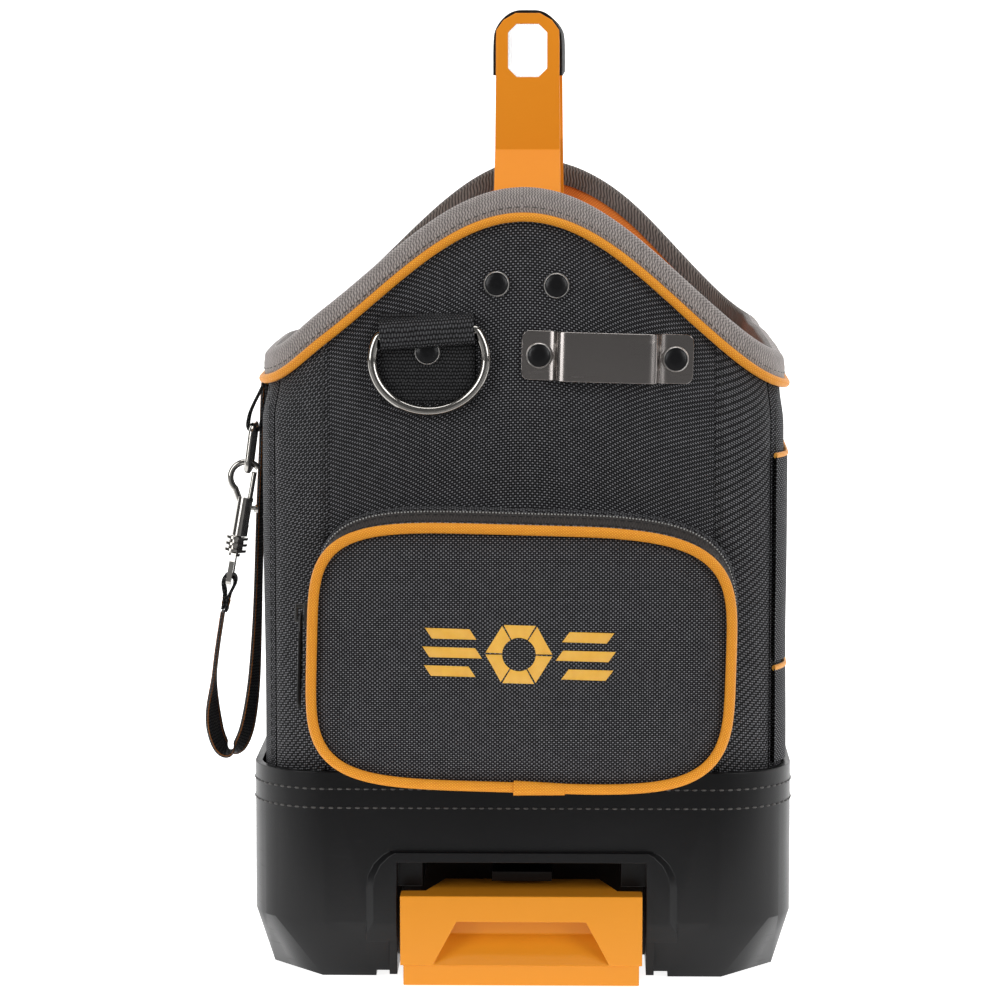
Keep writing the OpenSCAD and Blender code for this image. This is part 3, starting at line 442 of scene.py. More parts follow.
# Rivet heads: lacquered black inside, with the lacquer worn off the rim. The uv's first value is the radius.
def rivetMaterial():
    material, tree, surface = startMaterial("rivetLacquer", 0.3, 0.6)
    radius = addNode(tree, "ShaderNodeSeparateXYZ",
                     {"Vector": addNode(tree, "ShaderNodeUVMap", uv_map="weave").outputs["UV"]}).outputs["X"]
    place = addNode(tree, "ShaderNodeTexCoord").outputs["Object"]
    grain = useGroup(tree, grainGroup, place, Size=0.0009)
    edge = calc(tree, "MULTIPLY", calc(tree, "SUBTRACT", radius, 0.0056, clamp=True), 2400.0, clamp=True)
    worn = calc(tree, "MULTIPLY", edge, calc(tree, "MULTIPLY_ADD", grain.outputs["Grain"], 1.2, 0.3, clamp=True))
    tree.links.new(blendColors(tree, worn, (0.006, 0.006, 0.007), (0.66, 0.64, 0.62)), surface.inputs["Base Color"])
    tree.links.new(calc(tree, "MULTIPLY_ADD", worn, 0.6, 0.4), surface.inputs["Metallic"])
    addBump(tree, surface, grain.outputs["Grain"], 0.00008)
    return material


# Flat strap with a thin coloured tracer along each edge. The uv's second value runs round the strap.
def strapMaterial(wide, thick):
    material = clothMaterial("strapTape", (0.003, 0.003, 0.004), (0.06, 0.06, 0.062), 0.0016, 0.0013, 0.0003,
                             group=ribGroup, Lean=0.3)
    tree = material.node_tree
    surface = tree.nodes["Principled BSDF"]
    black = surface.inputs["Base Color"].links[0].from_socket
    girth = addNode(tree, "ShaderNodeSeparateXYZ",
                    {"Vector": addNode(tree, "ShaderNodeUVMap", uv_map="weave").outputs["UV"]}).outputs["Y"]
    side = calc(tree, "PINGPONG", girth, wide + thick)
    low = calc(tree, "COMPARE", side, thick + 0.0012, 0.00026)
    high = calc(tree, "COMPARE", side, wide + thick - 0.0009, 0.00026)
    edge = calc(tree, "ADD", low, high, clamp=True)
    tree.links.new(blendColors(tree, edge, black, (0.30, 0.10, 0.014)), surface.inputs["Base Color"])
    return material


soot = (0.0010, 0.0010, 0.0012)
# Cloth: dark tone for the gaps and light tone for the thread crowns (painted shade and painted highlight), thread sizes
# across and up, depth. Others: tone, worn tone, roughness, grain size, depth.
stuff = {
    "panel": clothMaterial("ballisticCloth", soot, (0.25, 0.25, 0.266), 0.0012, 0.0010, 0.0003, gloss=0.05, sheen=0.0),
    "corner": clothMaterial("cornerCloth", soot, (0.22, 0.22, 0.232), 0.00122, 0.00122, 0.0003, gloss=0.05, sheen=0.0,
                            Steps=3.0),
    "lining": clothMaterial("liningCloth", (0.55, 0.13, 0.012), (0.85, 0.30, 0.035), 0.0007, 0.0007, 0.0001),
    "binding": clothMaterial("bindingTape", (0.09, 0.08, 0.076), (0.41, 0.365, 0.345), 0.0014, 0.0026, 0.00028,
                             group=ribGroup, Lean=0.5, Strands=0.25),
    # A darker copy of the binding tape for its inner side: painted shade.
    "bindingInsideShade": clothMaterial("bindingInsideShade", (0.018, 0.015, 0.013), (0.16, 0.135, 0.12), 0.0018, 0.0060, 0.0004,
                                   group=ribGroup, Lean=0.3, Strands=0.1),
    "webbing": clothMaterial("blackWebbing", soot, (0.055, 0.055, 0.058), 0.0018, 0.0014, 0.0004, group=ribGroup,
                             gloss=0.1, sheen=0.0, Lean=0.25, Strands=0.9),
    "piping": clothMaterial("orangePiping", (0.66, 0.21, 0.014), (0.98, 0.56, 0.05), 0.0008, 0.0007, 0.00012,
                            roughness=0.5, gloss=0.2),
    "trim": clothMaterial("orangeTape", (0.62, 0.20, 0.02), (0.86, 0.42, 0.06), 0.0010, 0.0012, 0.0001, group=ribGroup),
    "zipTape": clothMaterial("zipperTape", (0.014, 0.012, 0.0115), (0.060, 0.053, 0.050), 0.0007, 0.0008, 0.00008,
                             group=ribGroup, gloss=0.15),
    "satin": clothMaterial("satinThread", (0.80, 0.31, 0.022), (1.0, 0.60, 0.085), 0.00055, 0.02, 0.0002, roughness=0.45,
                           group=ribGroup, gloss=0.5, Lean=0.0, Strands=0.0),
    "strap": strapMaterial(0.012, 0.0018),
    "rivet": rivetMaterial(),
    "tub": mouldedMaterial("tubPlastic", (0.0030, 0.0030, 0.0034), (0.008, 0.008, 0.009), 0.32, 0.0007, 0.00004,
                           Specular_IOR_Level=0.25),
    "latch": mouldedMaterial("latchPlastic", (0.62, 0.225, 0.011), (0.65, 0.26, 0.016), 0.36, 0.0008, 0.00002,
                             Specular_IOR_Level=0.3),
    "handle": mouldedMaterial("handlePlastic", (0.78, 0.25, 0.014), (0.80, 0.30, 0.02), 0.34, 0.0008, 0.00002,
                              Specular_IOR_Level=0.18),
    "grip": mouldedMaterial("gripRubber", (0.0035, 0.0035, 0.004), (0.009, 0.009, 0.009), 0.6, 0.0005, 0.00006,
                            Specular_IOR_Level=0.15),
    "nickel": mouldedMaterial("nickelPlate", (0.42, 0.405, 0.38), (0.32, 0.305, 0.285), 0.10, 0.0015, 0.000004,
                              metallic=1.0),
    "clip": mouldedMaterial("clipSteel", (0.44, 0.41, 0.395), (0.15, 0.132, 0.124), 0.2, 0.0045, 0.000002, metallic=1.0),
    "gunmetal": mouldedMaterial("darkNickel", (0.10, 0.097, 0.094), (0.06, 0.06, 0.058), 0.2, 0.0012, 0.000006,
                                metallic=1.0),
    "zinc": mouldedMaterial("zincSteel", (0.55, 0.55, 0.56), (0.40, 0.40, 0.41), 0.34, 0.0009, 0.00001, metallic=1.0),
    "enamel": mouldedMaterial("blackEnamel", (0.006, 0.006, 0.007), (0.03, 0.03, 0.03), 0.3, 0.0009, 0.00001,
                              metallic=0.4),
    "thread": mouldedMaterial("blackThread", (0.008, 0.008, 0.009), (0.05, 0.05, 0.052), 0.5, 0.0004, 0.00005),
    "coil": mouldedMaterial("zipperCoil", (0.36, 0.36, 0.35), (0.56, 0.56, 0.55), 0.4, 0.0004, 0.00003),
    "tag": mouldedMaterial("pullRubber", (0.0015, 0.0015, 0.0017), (0.004, 0.004, 0.004), 0.42, 0.0005, 0.00003,
                           Specular_IOR_Level=0.25),
    # A lighter copy of the black webbing for the fold round the D-ring's bar: painted light on the roll.
    "litRollWebbing": clothMaterial("webbingRollLit", soot, (0.085, 0.085, 0.09), 0.0018, 0.0014, 0.0004, group=ribGroup, gloss=0.1,
                          sheen=0.0, Lean=0.25, Strands=0.9),
    # Near-white glossy paint for the faces inside the hollow orange handle: painted light, so the bore looks bright
    # right through.
    "bore": mouldedMaterial("handleBorePaintedLight", (0.88, 0.80, 0.76), (0.92, 0.86, 0.84), 0.12, 0.0010, 0.000004, coat=1.0),
    "paleThread": mouldedMaterial("paleThread", (0.24, 0.24, 0.235), (0.42, 0.42, 0.41), 0.5, 0.0004, 0.00005),
    "greyThread": mouldedMaterial("greyThread", (0.05, 0.047, 0.045), (0.12, 0.115, 0.11), 0.6, 0.0004, 0.00005),
    "orangeThread": mouldedMaterial("orangeThread", (0.55, 0.20, 0.02), (0.80, 0.36, 0.05), 0.6, 0.0004, 0.00005),
    # Near-black marks for the stitch holes: painted shade.
    "holeShade": mouldedMaterial("stitchHoleShade", (0.001, 0.001, 0.001), (0.003, 0.003, 0.003), 0.8, 0.0004, 0.00001),
}


# Gives a new piece its material and its body, and hides the nodes it stands for.
def dress(piece, material, body="bag", stands=()):
    piece.data.materials.clear()
    piece.data.materials.append(stuff[material])
    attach(piece, body)
    if stands:
        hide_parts(*stands)
    return piece


def soften(piece, width, segments=2, angle=30):
    bevel = piece.modifiers.new("softEdges", "BEVEL")
    bevel.width = width
    bevel.segments = segments
    bevel.limit_method = "ANGLE"
    bevel.angle_limit = math.radians(angle)
    bevel.harden_normals = False
    return piece


def finishNode(name, material, width=0.0, segments=2, smooth=30):
    piece = nodes[name]
    piece.data.materials.clear()
    piece.data.materials.append(stuff[material])
    piece.data.shade_smooth()
    piece.data.set_sharp_from_angle(angle=math.radians(smooth))
    if width:
        weld = piece.modifiers.new("joinFaces", "WELD")
        weld.merge_threshold = 0.00001
        flatten = piece.modifiers.new("flatFaces", "DECIMATE")
        flatten.decimate_type = "DISSOLVE"
        flatten.angle_limit = math.radians(0.5)
        soften(piece, width, segments)
        even = piece.modifiers.new("evenShading", "WEIGHTED_NORMAL")
        even.keep_sharp = False
    return piece


# A rounded rectangle: distance along it from the middle of the front, going right -> place and outward normal.
def roundedOutline(s, flatX, flatY, corner, off):
    turn = math.pi / 2 * corner
    s = s % (4 * (flatX + flatY + turn))
    legs = [(flatX, 0, 0)]
    for quarterTurn, straight in ((0, 2 * flatY), (90, 2 * flatX), (180, 2 * flatY), (270, flatX)):
        legs += [(turn, 1, quarterTurn), (straight, 0, quarterTurn + 90)]
    centre = Vector((0.0, -flatY, 0.0))
    for length, curved, heading in legs:
        h = math.radians(heading)
        ahead = Vector((0, 0, 0)) if curved else Vector((math.cos(h), math.sin(h), 0))
        if s > length:
            centre += ahead * length
            s -= length
            continue
        centre += ahead * s
        h += s / corner if curved else 0
        normal = Vector((math.sin(h), -math.cos(h), 0))
        return centre + normal * (corner + off), normal
    return centre + Vector((0, -1, 0)) * (corner + off), Vector((0, -1, 0))


flatX, flatY = bag["halfWidth"] - bag["corner"], bag["halfLength"] - bag["corner"]
quarter = math.pi / 2 * bag["corner"]
perimeter = 4 * flatX + 4 * flatY + 4 * quarter


def bagOutline(s, off=0.0):
    return roundedOutline(s, flatX, flatY, bag["corner"], off)


# Outward direction at a point beside a rounded rectangle.
def nearestNormal(p, coreX=flatX, coreY=flatY):
    core = Vector((min(max(p.x, -coreX), coreX), min(max(p.y, -coreY), coreY), 0))
    return (Vector((p.x, p.y, 0)) - core).normalized()


# The rear end slumps: it is lower at its sides and lifts a little near its peak.
slump = {"left": 0.0095, "leftFrom": 0.015, "leftOver": 0.116, "right": 0.004, "peakLift": 0.0026, "peakWide": 0.07,
         "rightLift": 0.003, "rightAt": 0.055, "rightWide": 0.036, "corner": 0.004}


# Height of the piping's seam.
def seamHeight(x, y=-0.2):
    near = min(abs(x - rim["peak"]), rim["span"])
    wave = (0.5 + 0.5 * math.cos(math.pi * near / rim["span"])) ** rim["power"]
    sag = slump["left"] * (max(-x - slump["leftFrom"], 0) / slump["leftOver"]) ** 1.5
    sag += slump["right"] * ease(0.05, 0.13, x)
    lift = slump["peakLift"] * math.exp(-((x / slump["peakWide"]) ** 2))
    sag -= lift + slump["rightLift"] * math.exp(-(((x - slump["rightAt"]) / slump["rightWide"]) ** 2))
    drop = slump["corner"] * ease(0.098, 0.131, -x) + ease(-0.11, 0.17, y) * sag
    return rim["low"] - math.tan(rim["fall"]) * x + rim["rise"] * wave - drop


def rimHeight(x, y=-0.2):
    slope = (seamHeight(x + 0.001, y) - seamHeight(x - 0.001, y)) / 0.002
    return seamHeight(x, y) + rim["band"] * math.sqrt(1 + 0.2 * slope * slope)


# The binding pulls the bag's sides in a little at the rim.
def pullIn(x):
    return rim["pullRight" if x > 0 else "pullLeft"] * ease(0.08, 0.125, abs(x))


def ripple(s, z, size, seed, scale=9.0):
    return size * (noise.noise(Vector((s * scale, z * scale, seed))) - 0.35)


print("helpers and materials ready")


# The tape strap's route is in millimetres, from its exit under the rim down to the end loop.
strap = {
    "wide": 0.012, "thick": 0.0018, "length": 0.2778,
    "route": [(-133.4, -98, 295.4), (-134, -98, 289), (-134.6, -98, 275), (-135.2, -98, 259), (-136, -98, 243),
              (-136.8, -98.5, 225), (-137.4, -99, 207), (-138, -99.5, 189), (-138.6, -100, 171), (-139.4, -101, 153),
              (-140.4, -102, 137), (-142, -103.5, 123), (-144.4, -105, 111), (-148, -106.5, 103), (-152.4, -108, 100.4),
              (-156.6, -109.5, 103), (-159.6, -111, 110.5), (-161, -112, 121), (-160.8, -113, 133), (-159.6, -114, 145),
              (-158, -114.6, 157), (-156.4, -115, 167), (-155.2, -115, 174.5)],
}


def makeStrap():
    route = [Vector(p) / 1000 for p in strap["route"]]
    path = smoothPath(route, 5)

    def across(t):
        twist = math.radians(10 + 26 * ease(0.30, 0.62, t) - 36 * ease(0.74, 0.86, t))
        return Vector((math.sin(twist), math.cos(twist), 0.0))

    piece = sweepPiece("tapeStrap", path, flatSection(strap["thick"], strap["wide"]), across)
    dress(piece, "strap", stands=["tape_strap"])
    return piece, route, path


def loopStrip(name, points, wide, thick, body, stands):
    path = roundedCorners([Vector(p) for p in points], 3)
    piece = sweepPiece(name, path, flatSection(thick, wide, 0.0003), Vector((0, 1, 0)))
    return dress(piece, "webbing", body, stands)


hook = {"lean": math.radians(10), "anchorWide": 0.014, "anchorThick": 0.0013, "anchorLoop": 0.0031,
        "loopThick": 0.0015, "loop": 0.0030, "stitch": 0.0015, "stitchGap": 0.0005,
        "box": [(-0.0045, 0.0074), (0.0045, 0.0074), (0.0045, 0.0124),
                (-0.0045, 0.0124), (-0.0045, 0.0074), (0.0045, 0.0124)]}


def jointNamed(name):
    joint = next(j for j in frame["joints"] if j["name"] == name)
    return Vector(joint["pos_m"]), joint


def makeHookSet():
    x, y, z = jointNamed("strap_ring_swing")[0]
    eye = jointNamed("swivel_turn")[0]
    r = hook["anchorLoop"]
    wall = -bag["halfWidth"] - 0.0008
    anchor = [(wall, z + 0.026), (wall - 0.0012, z + 0.0215), (x - r + 0.0014, z + 0.008), (x - r, z + 0.0020),
              (x - r, z - 0.0008), (x - 0.4 * r, z - r), (x + r, z - r + 0.0004), (x + r + 0.0010, z + 0.004),
              (wall + 0.0002, z + 0.0135), (wall + 0.0002, z + 0.021)]
    loopStrip("strapAnchor", [(a, y, b) for a, b in anchor], hook["anchorWide"], hook["anchorThick"], "bag",
              ["strap_anchor_loop"])
    lean = hook["lean"]
    down = Vector((-math.sin(lean), 0, -math.cos(lean)))
    aside = Vector((math.cos(lean), 0, -math.sin(lean)))
    r = hook["loop"]
    loop = [(0.0009, 0.0158), (0.0009, 0.0075), (r, 0.0020), (r, -0.0012), (r * 0.6, -r)]
    loop += [(-a, b) for a, b in reversed(loop[1:])] + [(-0.0009, 0.0148)]
    loopStrip("strapLoop", [eye + aside * a + down * b for a, b in loop], strap["wide"], hook["loopThick"], "swivel_eye",
              ["strap_end_loop"])
    stitch = hook["stitch"]
    for sideName, side in (("Out", -1), ("In", 1)):
        rows = []
        for (a0, b0), (a1, b1) in zip(hook["box"], hook["box"][1:]):
            ends = [eye + aside * side * 0.0018 + down * b + Vector((0, a, 0)) for a, b in ((a0, b0), (a1, b1))]
            rows += stitchRow(ends, lambda p: aside * side, stitch, hook["stitchGap"])
        dress(manyCopies("strapBoxStitch" + sideName, stitchShape(stitch, 0.00022), rows), "orangeThread",
              "swivel_eye")
    for name in ("strap_ring", "snap_hook_body", "snap_hook_bolt", "snap_hook_eye"):
        finishNode(name, "nickel", 0.00025)
    finishNode("snap_hook_spring", "zinc")
    carried = ("snap_hook_eye", "snap_hook_body", "snap_hook_bolt", "snap_hook_spring")
    return [bpy.data.objects["strapLoop"]] + [nodes[n] for n in carried]


strapPiece, strapRoute, strapPath = makeStrap()
hookPieces = makeHookSet()
tuple(strapRoute[0])
[tuple(p) for p in strapPath]
print("tape strap and hook ready")


walls = {"seamDip": 0.0012, "seamWidth": 0.0045, "ripple": 0.0010, "foot": 0.0665, "seamTurn": math.radians(55),
         "stitchInset": 0.0032}
seamArc = walls["seamTurn"] * bag["corner"]
halfRound = flatX + quarter + 2 * flatY + quarter
# piece: node, from and to along the outline, columns, looseness
wallSpans = {
    "frontPanel": ("front_end_panel", -flatX, flatX, 96, 1.0),
    "rightPanel": ("right_side_panel", flatX + seamArc, halfRound - seamArc, 150, 1.6),
    "rearPanel": ("rear_end_panel", halfRound, halfRound + 2 * flatX, 96, 1.0),
    "leftPanel": ("left_side_panel", -halfRound + seamArc, -flatX - seamArc, 150, 1.6),
}
cornerSpans = [(flatX, flatX + seamArc), (halfRound - seamArc, halfRound), (-halfRound, -halfRound + seamArc),
               (-flatX - seamArc, -flatX)]


# tuck slides the sheet's edges under its neighbours; weaveWay -1 mirrors the weave.
def wallSheet(name, s0, s1, columns, loose, seed, tuck=0.0, weaveWay=1):
    s0, s1 = s0 - tuck, s1 + tuck
    length = s1 - s0

    def surface(u, v):
        s = s0 + length * u
        edge = min(u, 1 - u) * length
        flat, normal = bagOutline(s)
        top = rimHeight(flat.x, flat.y) - 0.0015
        z = mix(walls["foot"], top, v)
        free = ease(0, 0.01, edge) * ease(0, 0.02, top - z)
        off = -walls["seamDip"] * math.exp(-((edge / walls["seamWidth"]) ** 2))
        off += ripple(s, z, walls["ripple"] * loose, seed) * free - tuck * ease(0.003, 0, edge)
        off -= (pullIn(flat.x) + 0.0002) * ease(0.035, 0.014, top - z)
        return Vector((flat.x, flat.y, z)) + normal * min(off, 0.0002), normal

    return clothSheet(name, columns, 90, surface, bag["panel"] - 0.0012, (length * weaveWay, 0.26))


def makeWalls():
    for seed, (name, (node, s0, s1, columns, loose)) in enumerate(wallSpans.items()):
        dress(wallSheet(name, s0, s1, columns, loose, seed + 0.7), "panel", stands=[node])
    for k, (s0, s1) in enumerate(cornerSpans):
        piece = wallSheet("cornerPiece" + str(k + 1), s0, s1, 30, 0.8, 9.3 + k, 0.0006, -1)
        dress(piece, "corner", stands=["corner_panels"] if k == 0 else ())
    inset, length, rows = walls["stitchInset"], 0.003, []
    for sign in (-1, 1):
        for edge in (flatX + inset, flatX + seamArc + inset, halfRound - seamArc - inset, halfRound - inset):
            flat, normal = bagOutline(sign * edge, -0.0003)
            path = [Vector((flat.x, flat.y, z)) for z in (tubTop - 0.02, rimHeight(flat.x, flat.y) - rim["band"] - 0.004)]
            rows += stitchRow(path, lambda p: normal, length, 0.0016)
    dress(manyCopies("seamStitching", stitchShape(length, 0.00035), rows), "thread")


def makeLining():
    off0 = -bag["panel"] - bag["gap"]

    def surface(u, v):
        s = perimeter * u
        flat, normal = bagOutline(s, off0 - bag["lining"])
        top = rimHeight(flat.x, flat.y) - 0.003
        z = mix(walls["foot"], top, v)
        wave = ripple(s, z, 0.0014, 21.0, 11.0) * ease(0, 0.02, top - z) - pullIn(flat.x) * ease(0.035, 0.014, top - z)
        return Vector((flat.x, flat.y, z)) + normal * min(wave, 0.0002), -normal

    piece = clothSheet("lining", 360, 60, surface, bag["lining"] * 0.8, (perimeter, 0.25), loopColumns=True)
    dress(piece, "lining", stands=["inner_lining"])


binding = {"outer": 0.0016, "inner": -0.0070, "skin": 0.0013, "columns": 460, "stitch": 0.0028, "stitchGap": 0.0014,
           "stitchUp": 0.0050, "pipingOut": 0.0022, "piping": 0.0023}


# Points round the rim, at a height above the seam.
def rimLine(count, steps, off, above=0.0):
    path = []
    for k in range(count):
        flat, normal = bagOutline(perimeter * k / steps, off)
        path.append(Vector((flat.x, flat.y, seamHeight(flat.x, flat.y) + above)) - normal * pullIn(flat.x))
    return path


def makeRim():
    outer, inner, skin = binding["outer"], binding["inner"], binding["skin"]
    middle, half = (outer + inner) / 2, (outer - inner) / 2
    sides = [(outer + 0.0004 * math.sin(math.pi * t), t) for t in (0, 0.08, 0.3, 0.6, 0.85, 1)]
    arch = [(middle + half * math.cos(math.radians(a)), 1 + math.sin(math.radians(a))) for a in range(18, 180, 18)]
    back = [(inner - 0.0003 * math.sin(math.pi * t), t) for t in (1, 0.85, 0.6, 0.3, 0.08, 0)]
    hollow = [(inner + skin, 0), (inner + skin, 0.95), (outer - skin, 0.95), (outer - skin, 0)]
    section = sides + arch + back + hollow
    columns = binding["columns"]
    girth = [0.0]
    for a, b in zip(section, section[1:] + section[:1]):
        girth.append(girth[-1] + math.hypot(a[0] - b[0], (a[1] - b[1]) * rim["band"]))

    def place(i, j):
        s = perimeter * i / columns
        off, t = section[j]
        flat, normal = bagOutline(s, off)
        wobble = 0.0004 * noise.noise(Vector((s * 14, 0, 5.0)))
        low, high = seamHeight(flat.x, flat.y) + 0.0022, rimHeight(flat.x, flat.y) - 0.0034
        z = mix(low, high, min(t, 1)) + max(t - 1, 0) * 0.0034
        return Vector((flat.x, flat.y, z + wobble)) + normal * (wobble - pullIn(flat.x))

    piece = gridPiece("rimBinding", columns, len(section), place, lambda i, j: (perimeter * i / columns, girth[j]),
                      loopColumns=True, loopRows=True)
    dress(piece, "binding", stands=["rim_binding"])
    # The inner side and the far half of the binding's top take the darker copy of the binding tape: painted shade.
    piece.data.materials.append(stuff["bindingInsideShade"])
    for k, face in enumerate(piece.data.polygons):
        face.material_index = 1 if k % len(section) >= len(sides) + 5 else 0
    rows = []
    for off, face in ((outer + 0.0003, 1), (inner - 0.0001, -1)):
        path = rimLine(461, 460, off, binding["stitchUp"])
        rows += stitchRow(path, lambda p: nearestNormal(p) * face, binding["stitch"], binding["stitchGap"])
    dress(manyCopies("bindingStitching", stitchShape(binding["stitch"], 0.00030), rows), "greyThread")
    path = rimLine(420, 420, binding["pipingOut"])
    piece = sweepPiece("rimPiping", path, roundSection(binding["piping"], 14), Vector((0, 0, 1)), closed=True)
    dress(piece, "piping", stands=["rim_piping"])


makeWalls()
makeLining()
makeRim()
finishNode("floor_board", "lining", 0.0008)
print("bag walls, lining and rim ready")


pocket = {"halfW": 0.1025, "halfH": 0.0625, "z": 0.167, "face": frontFace - 0.025, "power": 0.42, "sag": 0.0018,
          "zipFrom": -0.012, "zipNear": 0.0035, "zipFar": 0.0125, "coilAt": 0.86, "coilPitch": 0.0016,
          "stitchAt": (0.62, 0.08), "crown": 0.0046, "piping": 0.0026, "lap": 0.0031}


def onFront(x, y, z):
    t = rim["fall"]
    return Vector((x * math.cos(t) + z * math.sin(t), y, pocket["z"] - x * math.sin(t) + z * math.cos(t)))


def power(v, p):
    return math.copysign(abs(v) ** p, v)


def pocketPoint(a, growX=0.0, growZ=0.0):
    c, s = math.cos(a), math.sin(a)
    bend = pocket["power"] + (0.065 if s > 0 else 0.03) * ease(0.0, 0.25, c)
    low = pocket["sag"] * ease(0.0, 0.9, -s)
    growX *= 0.15 + 0.85 * ease(-0.6, 0.4, c) if growX > 0 else 1
    return ((pocket["halfW"] + growX) * power(c, bend), (pocket["halfH"] + low + growZ) * power(s, bend))


# Angles that space the pocket's outline evenly.
def evenAngles(count):
    fine = []
    for q in range(4):
        for k in range(600):
            t = k / 600
            fine.append(math.pi / 2 * (q + 3 * t * t - 2 * t ** 3))
    fine.append(2 * math.pi)
    points = [Vector((*pocketPoint(a), 0)) for a in fine]
    lengths = [0.0]
    for a, b in zip(points, points[1:]):
        lengths.append(lengths[-1] + (b - a).length)
    out, k = [], 0
    for n in range(count):
        at = lengths[-1] * n / count
        while lengths[k + 1] < at:
            k += 1
        out.append(mix(fine[k], fine[k + 1], (at - lengths[k]) / max(lengths[k + 1] - lengths[k], 1e-9)))
    return out, lengths[-1]


outlineAngles, outlineLength = evenAngles(260)


def makePocket():
    face = pocket["face"]
    near, far = face + pocket["zipNear"], face + pocket["zipFar"]
    # grow across, grow up, lift, depth, groove depth here
    rings = [
        (0.0032, 0.0062, 0.0016, None, 0), (0.0038, 0.0070, 0.0016, -0.2012, 0), (0.0036, 0.0068, 0.0016, -0.2030, 0),
        (0.0034, 0.0066, 0.0015, far + 0.0010, 0), (0.0032, 0.0063, 0.0014, far + 0.0003, 0),
        (0.0031, 0.0061, 0.0014, far, 0.0016), (0.0014, 0.0022, 0.0005, near, 0.0014),
        (0.0014, 0.0020, 0.0005, near - 0.0003, 0), (0.0010, 0.0014, 0.0003, near - 0.0010, 0),
        (0.0004, 0.0006, 0, face + 0.0006, 0), (-0.0006, -0.0006, 0, face - 0.0002, 0),
        (-0.006, -0.006, 0, face - 0.0003, 0), (-0.05, -0.04, 0, face - 0.0003, 0),
    ]

    def place(i, j):
        a = outlineAngles[i]
        growX, growZ, drop, depth, groove = rings[j]
        x, z = pocketPoint(a, growX, growZ)
        cut = groove * ease(pocket["zipFrom"] - 0.003, pocket["zipFrom"] + 0.001, z)
        x, z = pocketPoint(a, growX - cut, growZ - cut)
        if depth is None:
            height = onFront(x, 0, z + drop).z
            depth = mix(-0.2007, frontFace - bag["gap"], ease(tubTop + 0.002, tubTop + 0.005, height))
        return onFront(x, depth, z + drop)

    girth = [0.0]
    for a, b in zip(rings, rings[1:]):
        girth.append(girth[-1] + math.dist((a[0], a[3] or -0.1975), (b[0], b[3] or -0.1975)))
    columns = len(outlineAngles)
    piece = gridPiece("pocketGusset", columns, len(rings), place, lambda i, j: (outlineLength * i / columns, girth[j]),
                      loopColumns=True)
    dress(piece, "corner", stands=["pocket_gusset"])

    # woven tape in the groove, and the zipper's teeth along its middle
    picks = [i for i in range(columns) if pocketPoint(outlineAngles[i])[1] > pocket["zipFrom"]]
    top = sorted(picks, key=lambda i: (i + 65) % columns)

    def onFlank(i, t, out):
        x, z = pocketPoint(outlineAngles[i], mix(0.0014, 0.0031, t) + out, mix(0.0022, 0.0061, t) + out)
        return onFront(x, mix(near, far, t), z + mix(0.0005, 0.0014, t))

    # across the flank, and out of it
    tapeRows = [(1.03, -0.0012), (1.03, -0.0005), (0.94, -0.0005), (0.86, -0.0002), (0.78, -0.0005), (-0.03, -0.0005),
                (-0.03, -0.0012)]
    step = outlineLength / columns
    tape = gridPiece("zipperTape", len(top), len(tapeRows),
                     lambda i, j: onFlank(top[i], *tapeRows[j]), lambda i, j: (step * i, 0.0012 * j))
    dress(tape, "zipTape", stands=["pocket_zipper_tape"])
    centre = [onFlank(i, pocket["coilAt"], 0.0001) for i in top]
    even = evenly(centre, pocket["coilPitch"])
    middle = onFront(0, centre[0].y, 0)
    teeth = []
    for a, b in zip(even, even[1:]):
        outward = Vector((0, 1, 0)).cross(b - a).normalized()
        outward = outward if outward.dot(a - middle) > 0 else -outward
        teeth.append(facing(a.lerp(b, 0.5) - outward * 0.0002, b - a + Vector((0, 0.0003, 0)), outward))
    dress(manyCopies("zipperTeeth", stitchShape(0.0008, 0.00044), teeth), "coil")
    rows = []
    for t in pocket["stitchAt"]:
        line = [onFlank(i, t, 0.0001) for i in top]
        rows += stitchRow(line, lambda p: (p - middle).normalized(), 0.0026, 0.0012)
    dress(manyCopies("zipperStitching", stitchShape(0.0026, 0.00026), rows), "thread")

    # crowned face with the soft creases of packed cloth
    levels = [0, 0.12, 0.25, 0.38, 0.5, 0.6, 0.7, 0.78, 0.85, 0.9, 0.94, 0.97, 0.99, 1.0]

    def facePlace(i, j):
        r = levels[j]
        x, z = pocketPoint(outlineAngles[i], -0.0014, -0.0014)
        x, z = x * r, z * r
        crown = pocket["crown"] * (1 - r ** 5) + 0.0010 * (1 - r * r)
        crease = 0.0011 * noise.noise(Vector((x * 30, z * 9, 4.2))) + 0.0005 * noise.noise(Vector((x * 70, z * 24, 7.7)))
        return onFront(x, face - 0.0006 - crown - crease * (1 - r ** 6) * ease(-0.02, -0.045, z) - 0.0004 * (1 - r ** 6),
                       z)

    def faceUv(i, j):
        p = facePlace(i % columns, j)
        return (p.x, p.z)

    piece = gridPiece("pocketFace", columns, len(levels), facePlace, faceUv, loopColumns=True)
    dress(piece, "panel", stands=["pocket_face"])
    path = []
    for a in outlineAngles:
        x, z = pocketPoint(a, 0.0002, 0.0002)
        path.append(onFront(x, face - 0.0028, z))
    bottom = min(range(columns),
                 key=lambda i: (path[i].x + 0.004) ** 2 + (path[i].z - pocket["z"] + pocket["halfH"]) ** 2)
    piece = sweepPiece("pocketPiping", path, roundSection(pocket["piping"], 14), Vector((0, 1, 0)), closed=True)
    dress(piece, "piping", stands=["pocket_piping"])
    lap = [path[(bottom + k) % columns] + Vector((0, 0, -0.0003)) for k in range(12)]
    piece = sweepPiece("pipingLap", lap, roundSection(pocket["lap"], 14), Vector((0, 1, 0)),
                       lift=lambda t: mix(1.2, 0.92, t))
    dress(piece, "piping")


# Generic badge: a hexagon nut between three bars on each side, in raised satin stitch.
badge = {"y": -0.0060, "high": 0.0009, "nut": 0.0165, "hole": 0.0082, "bar": 0.0052, "barLong": 0.026, "pitch": 0.0092,
         "slant": 0.0018}


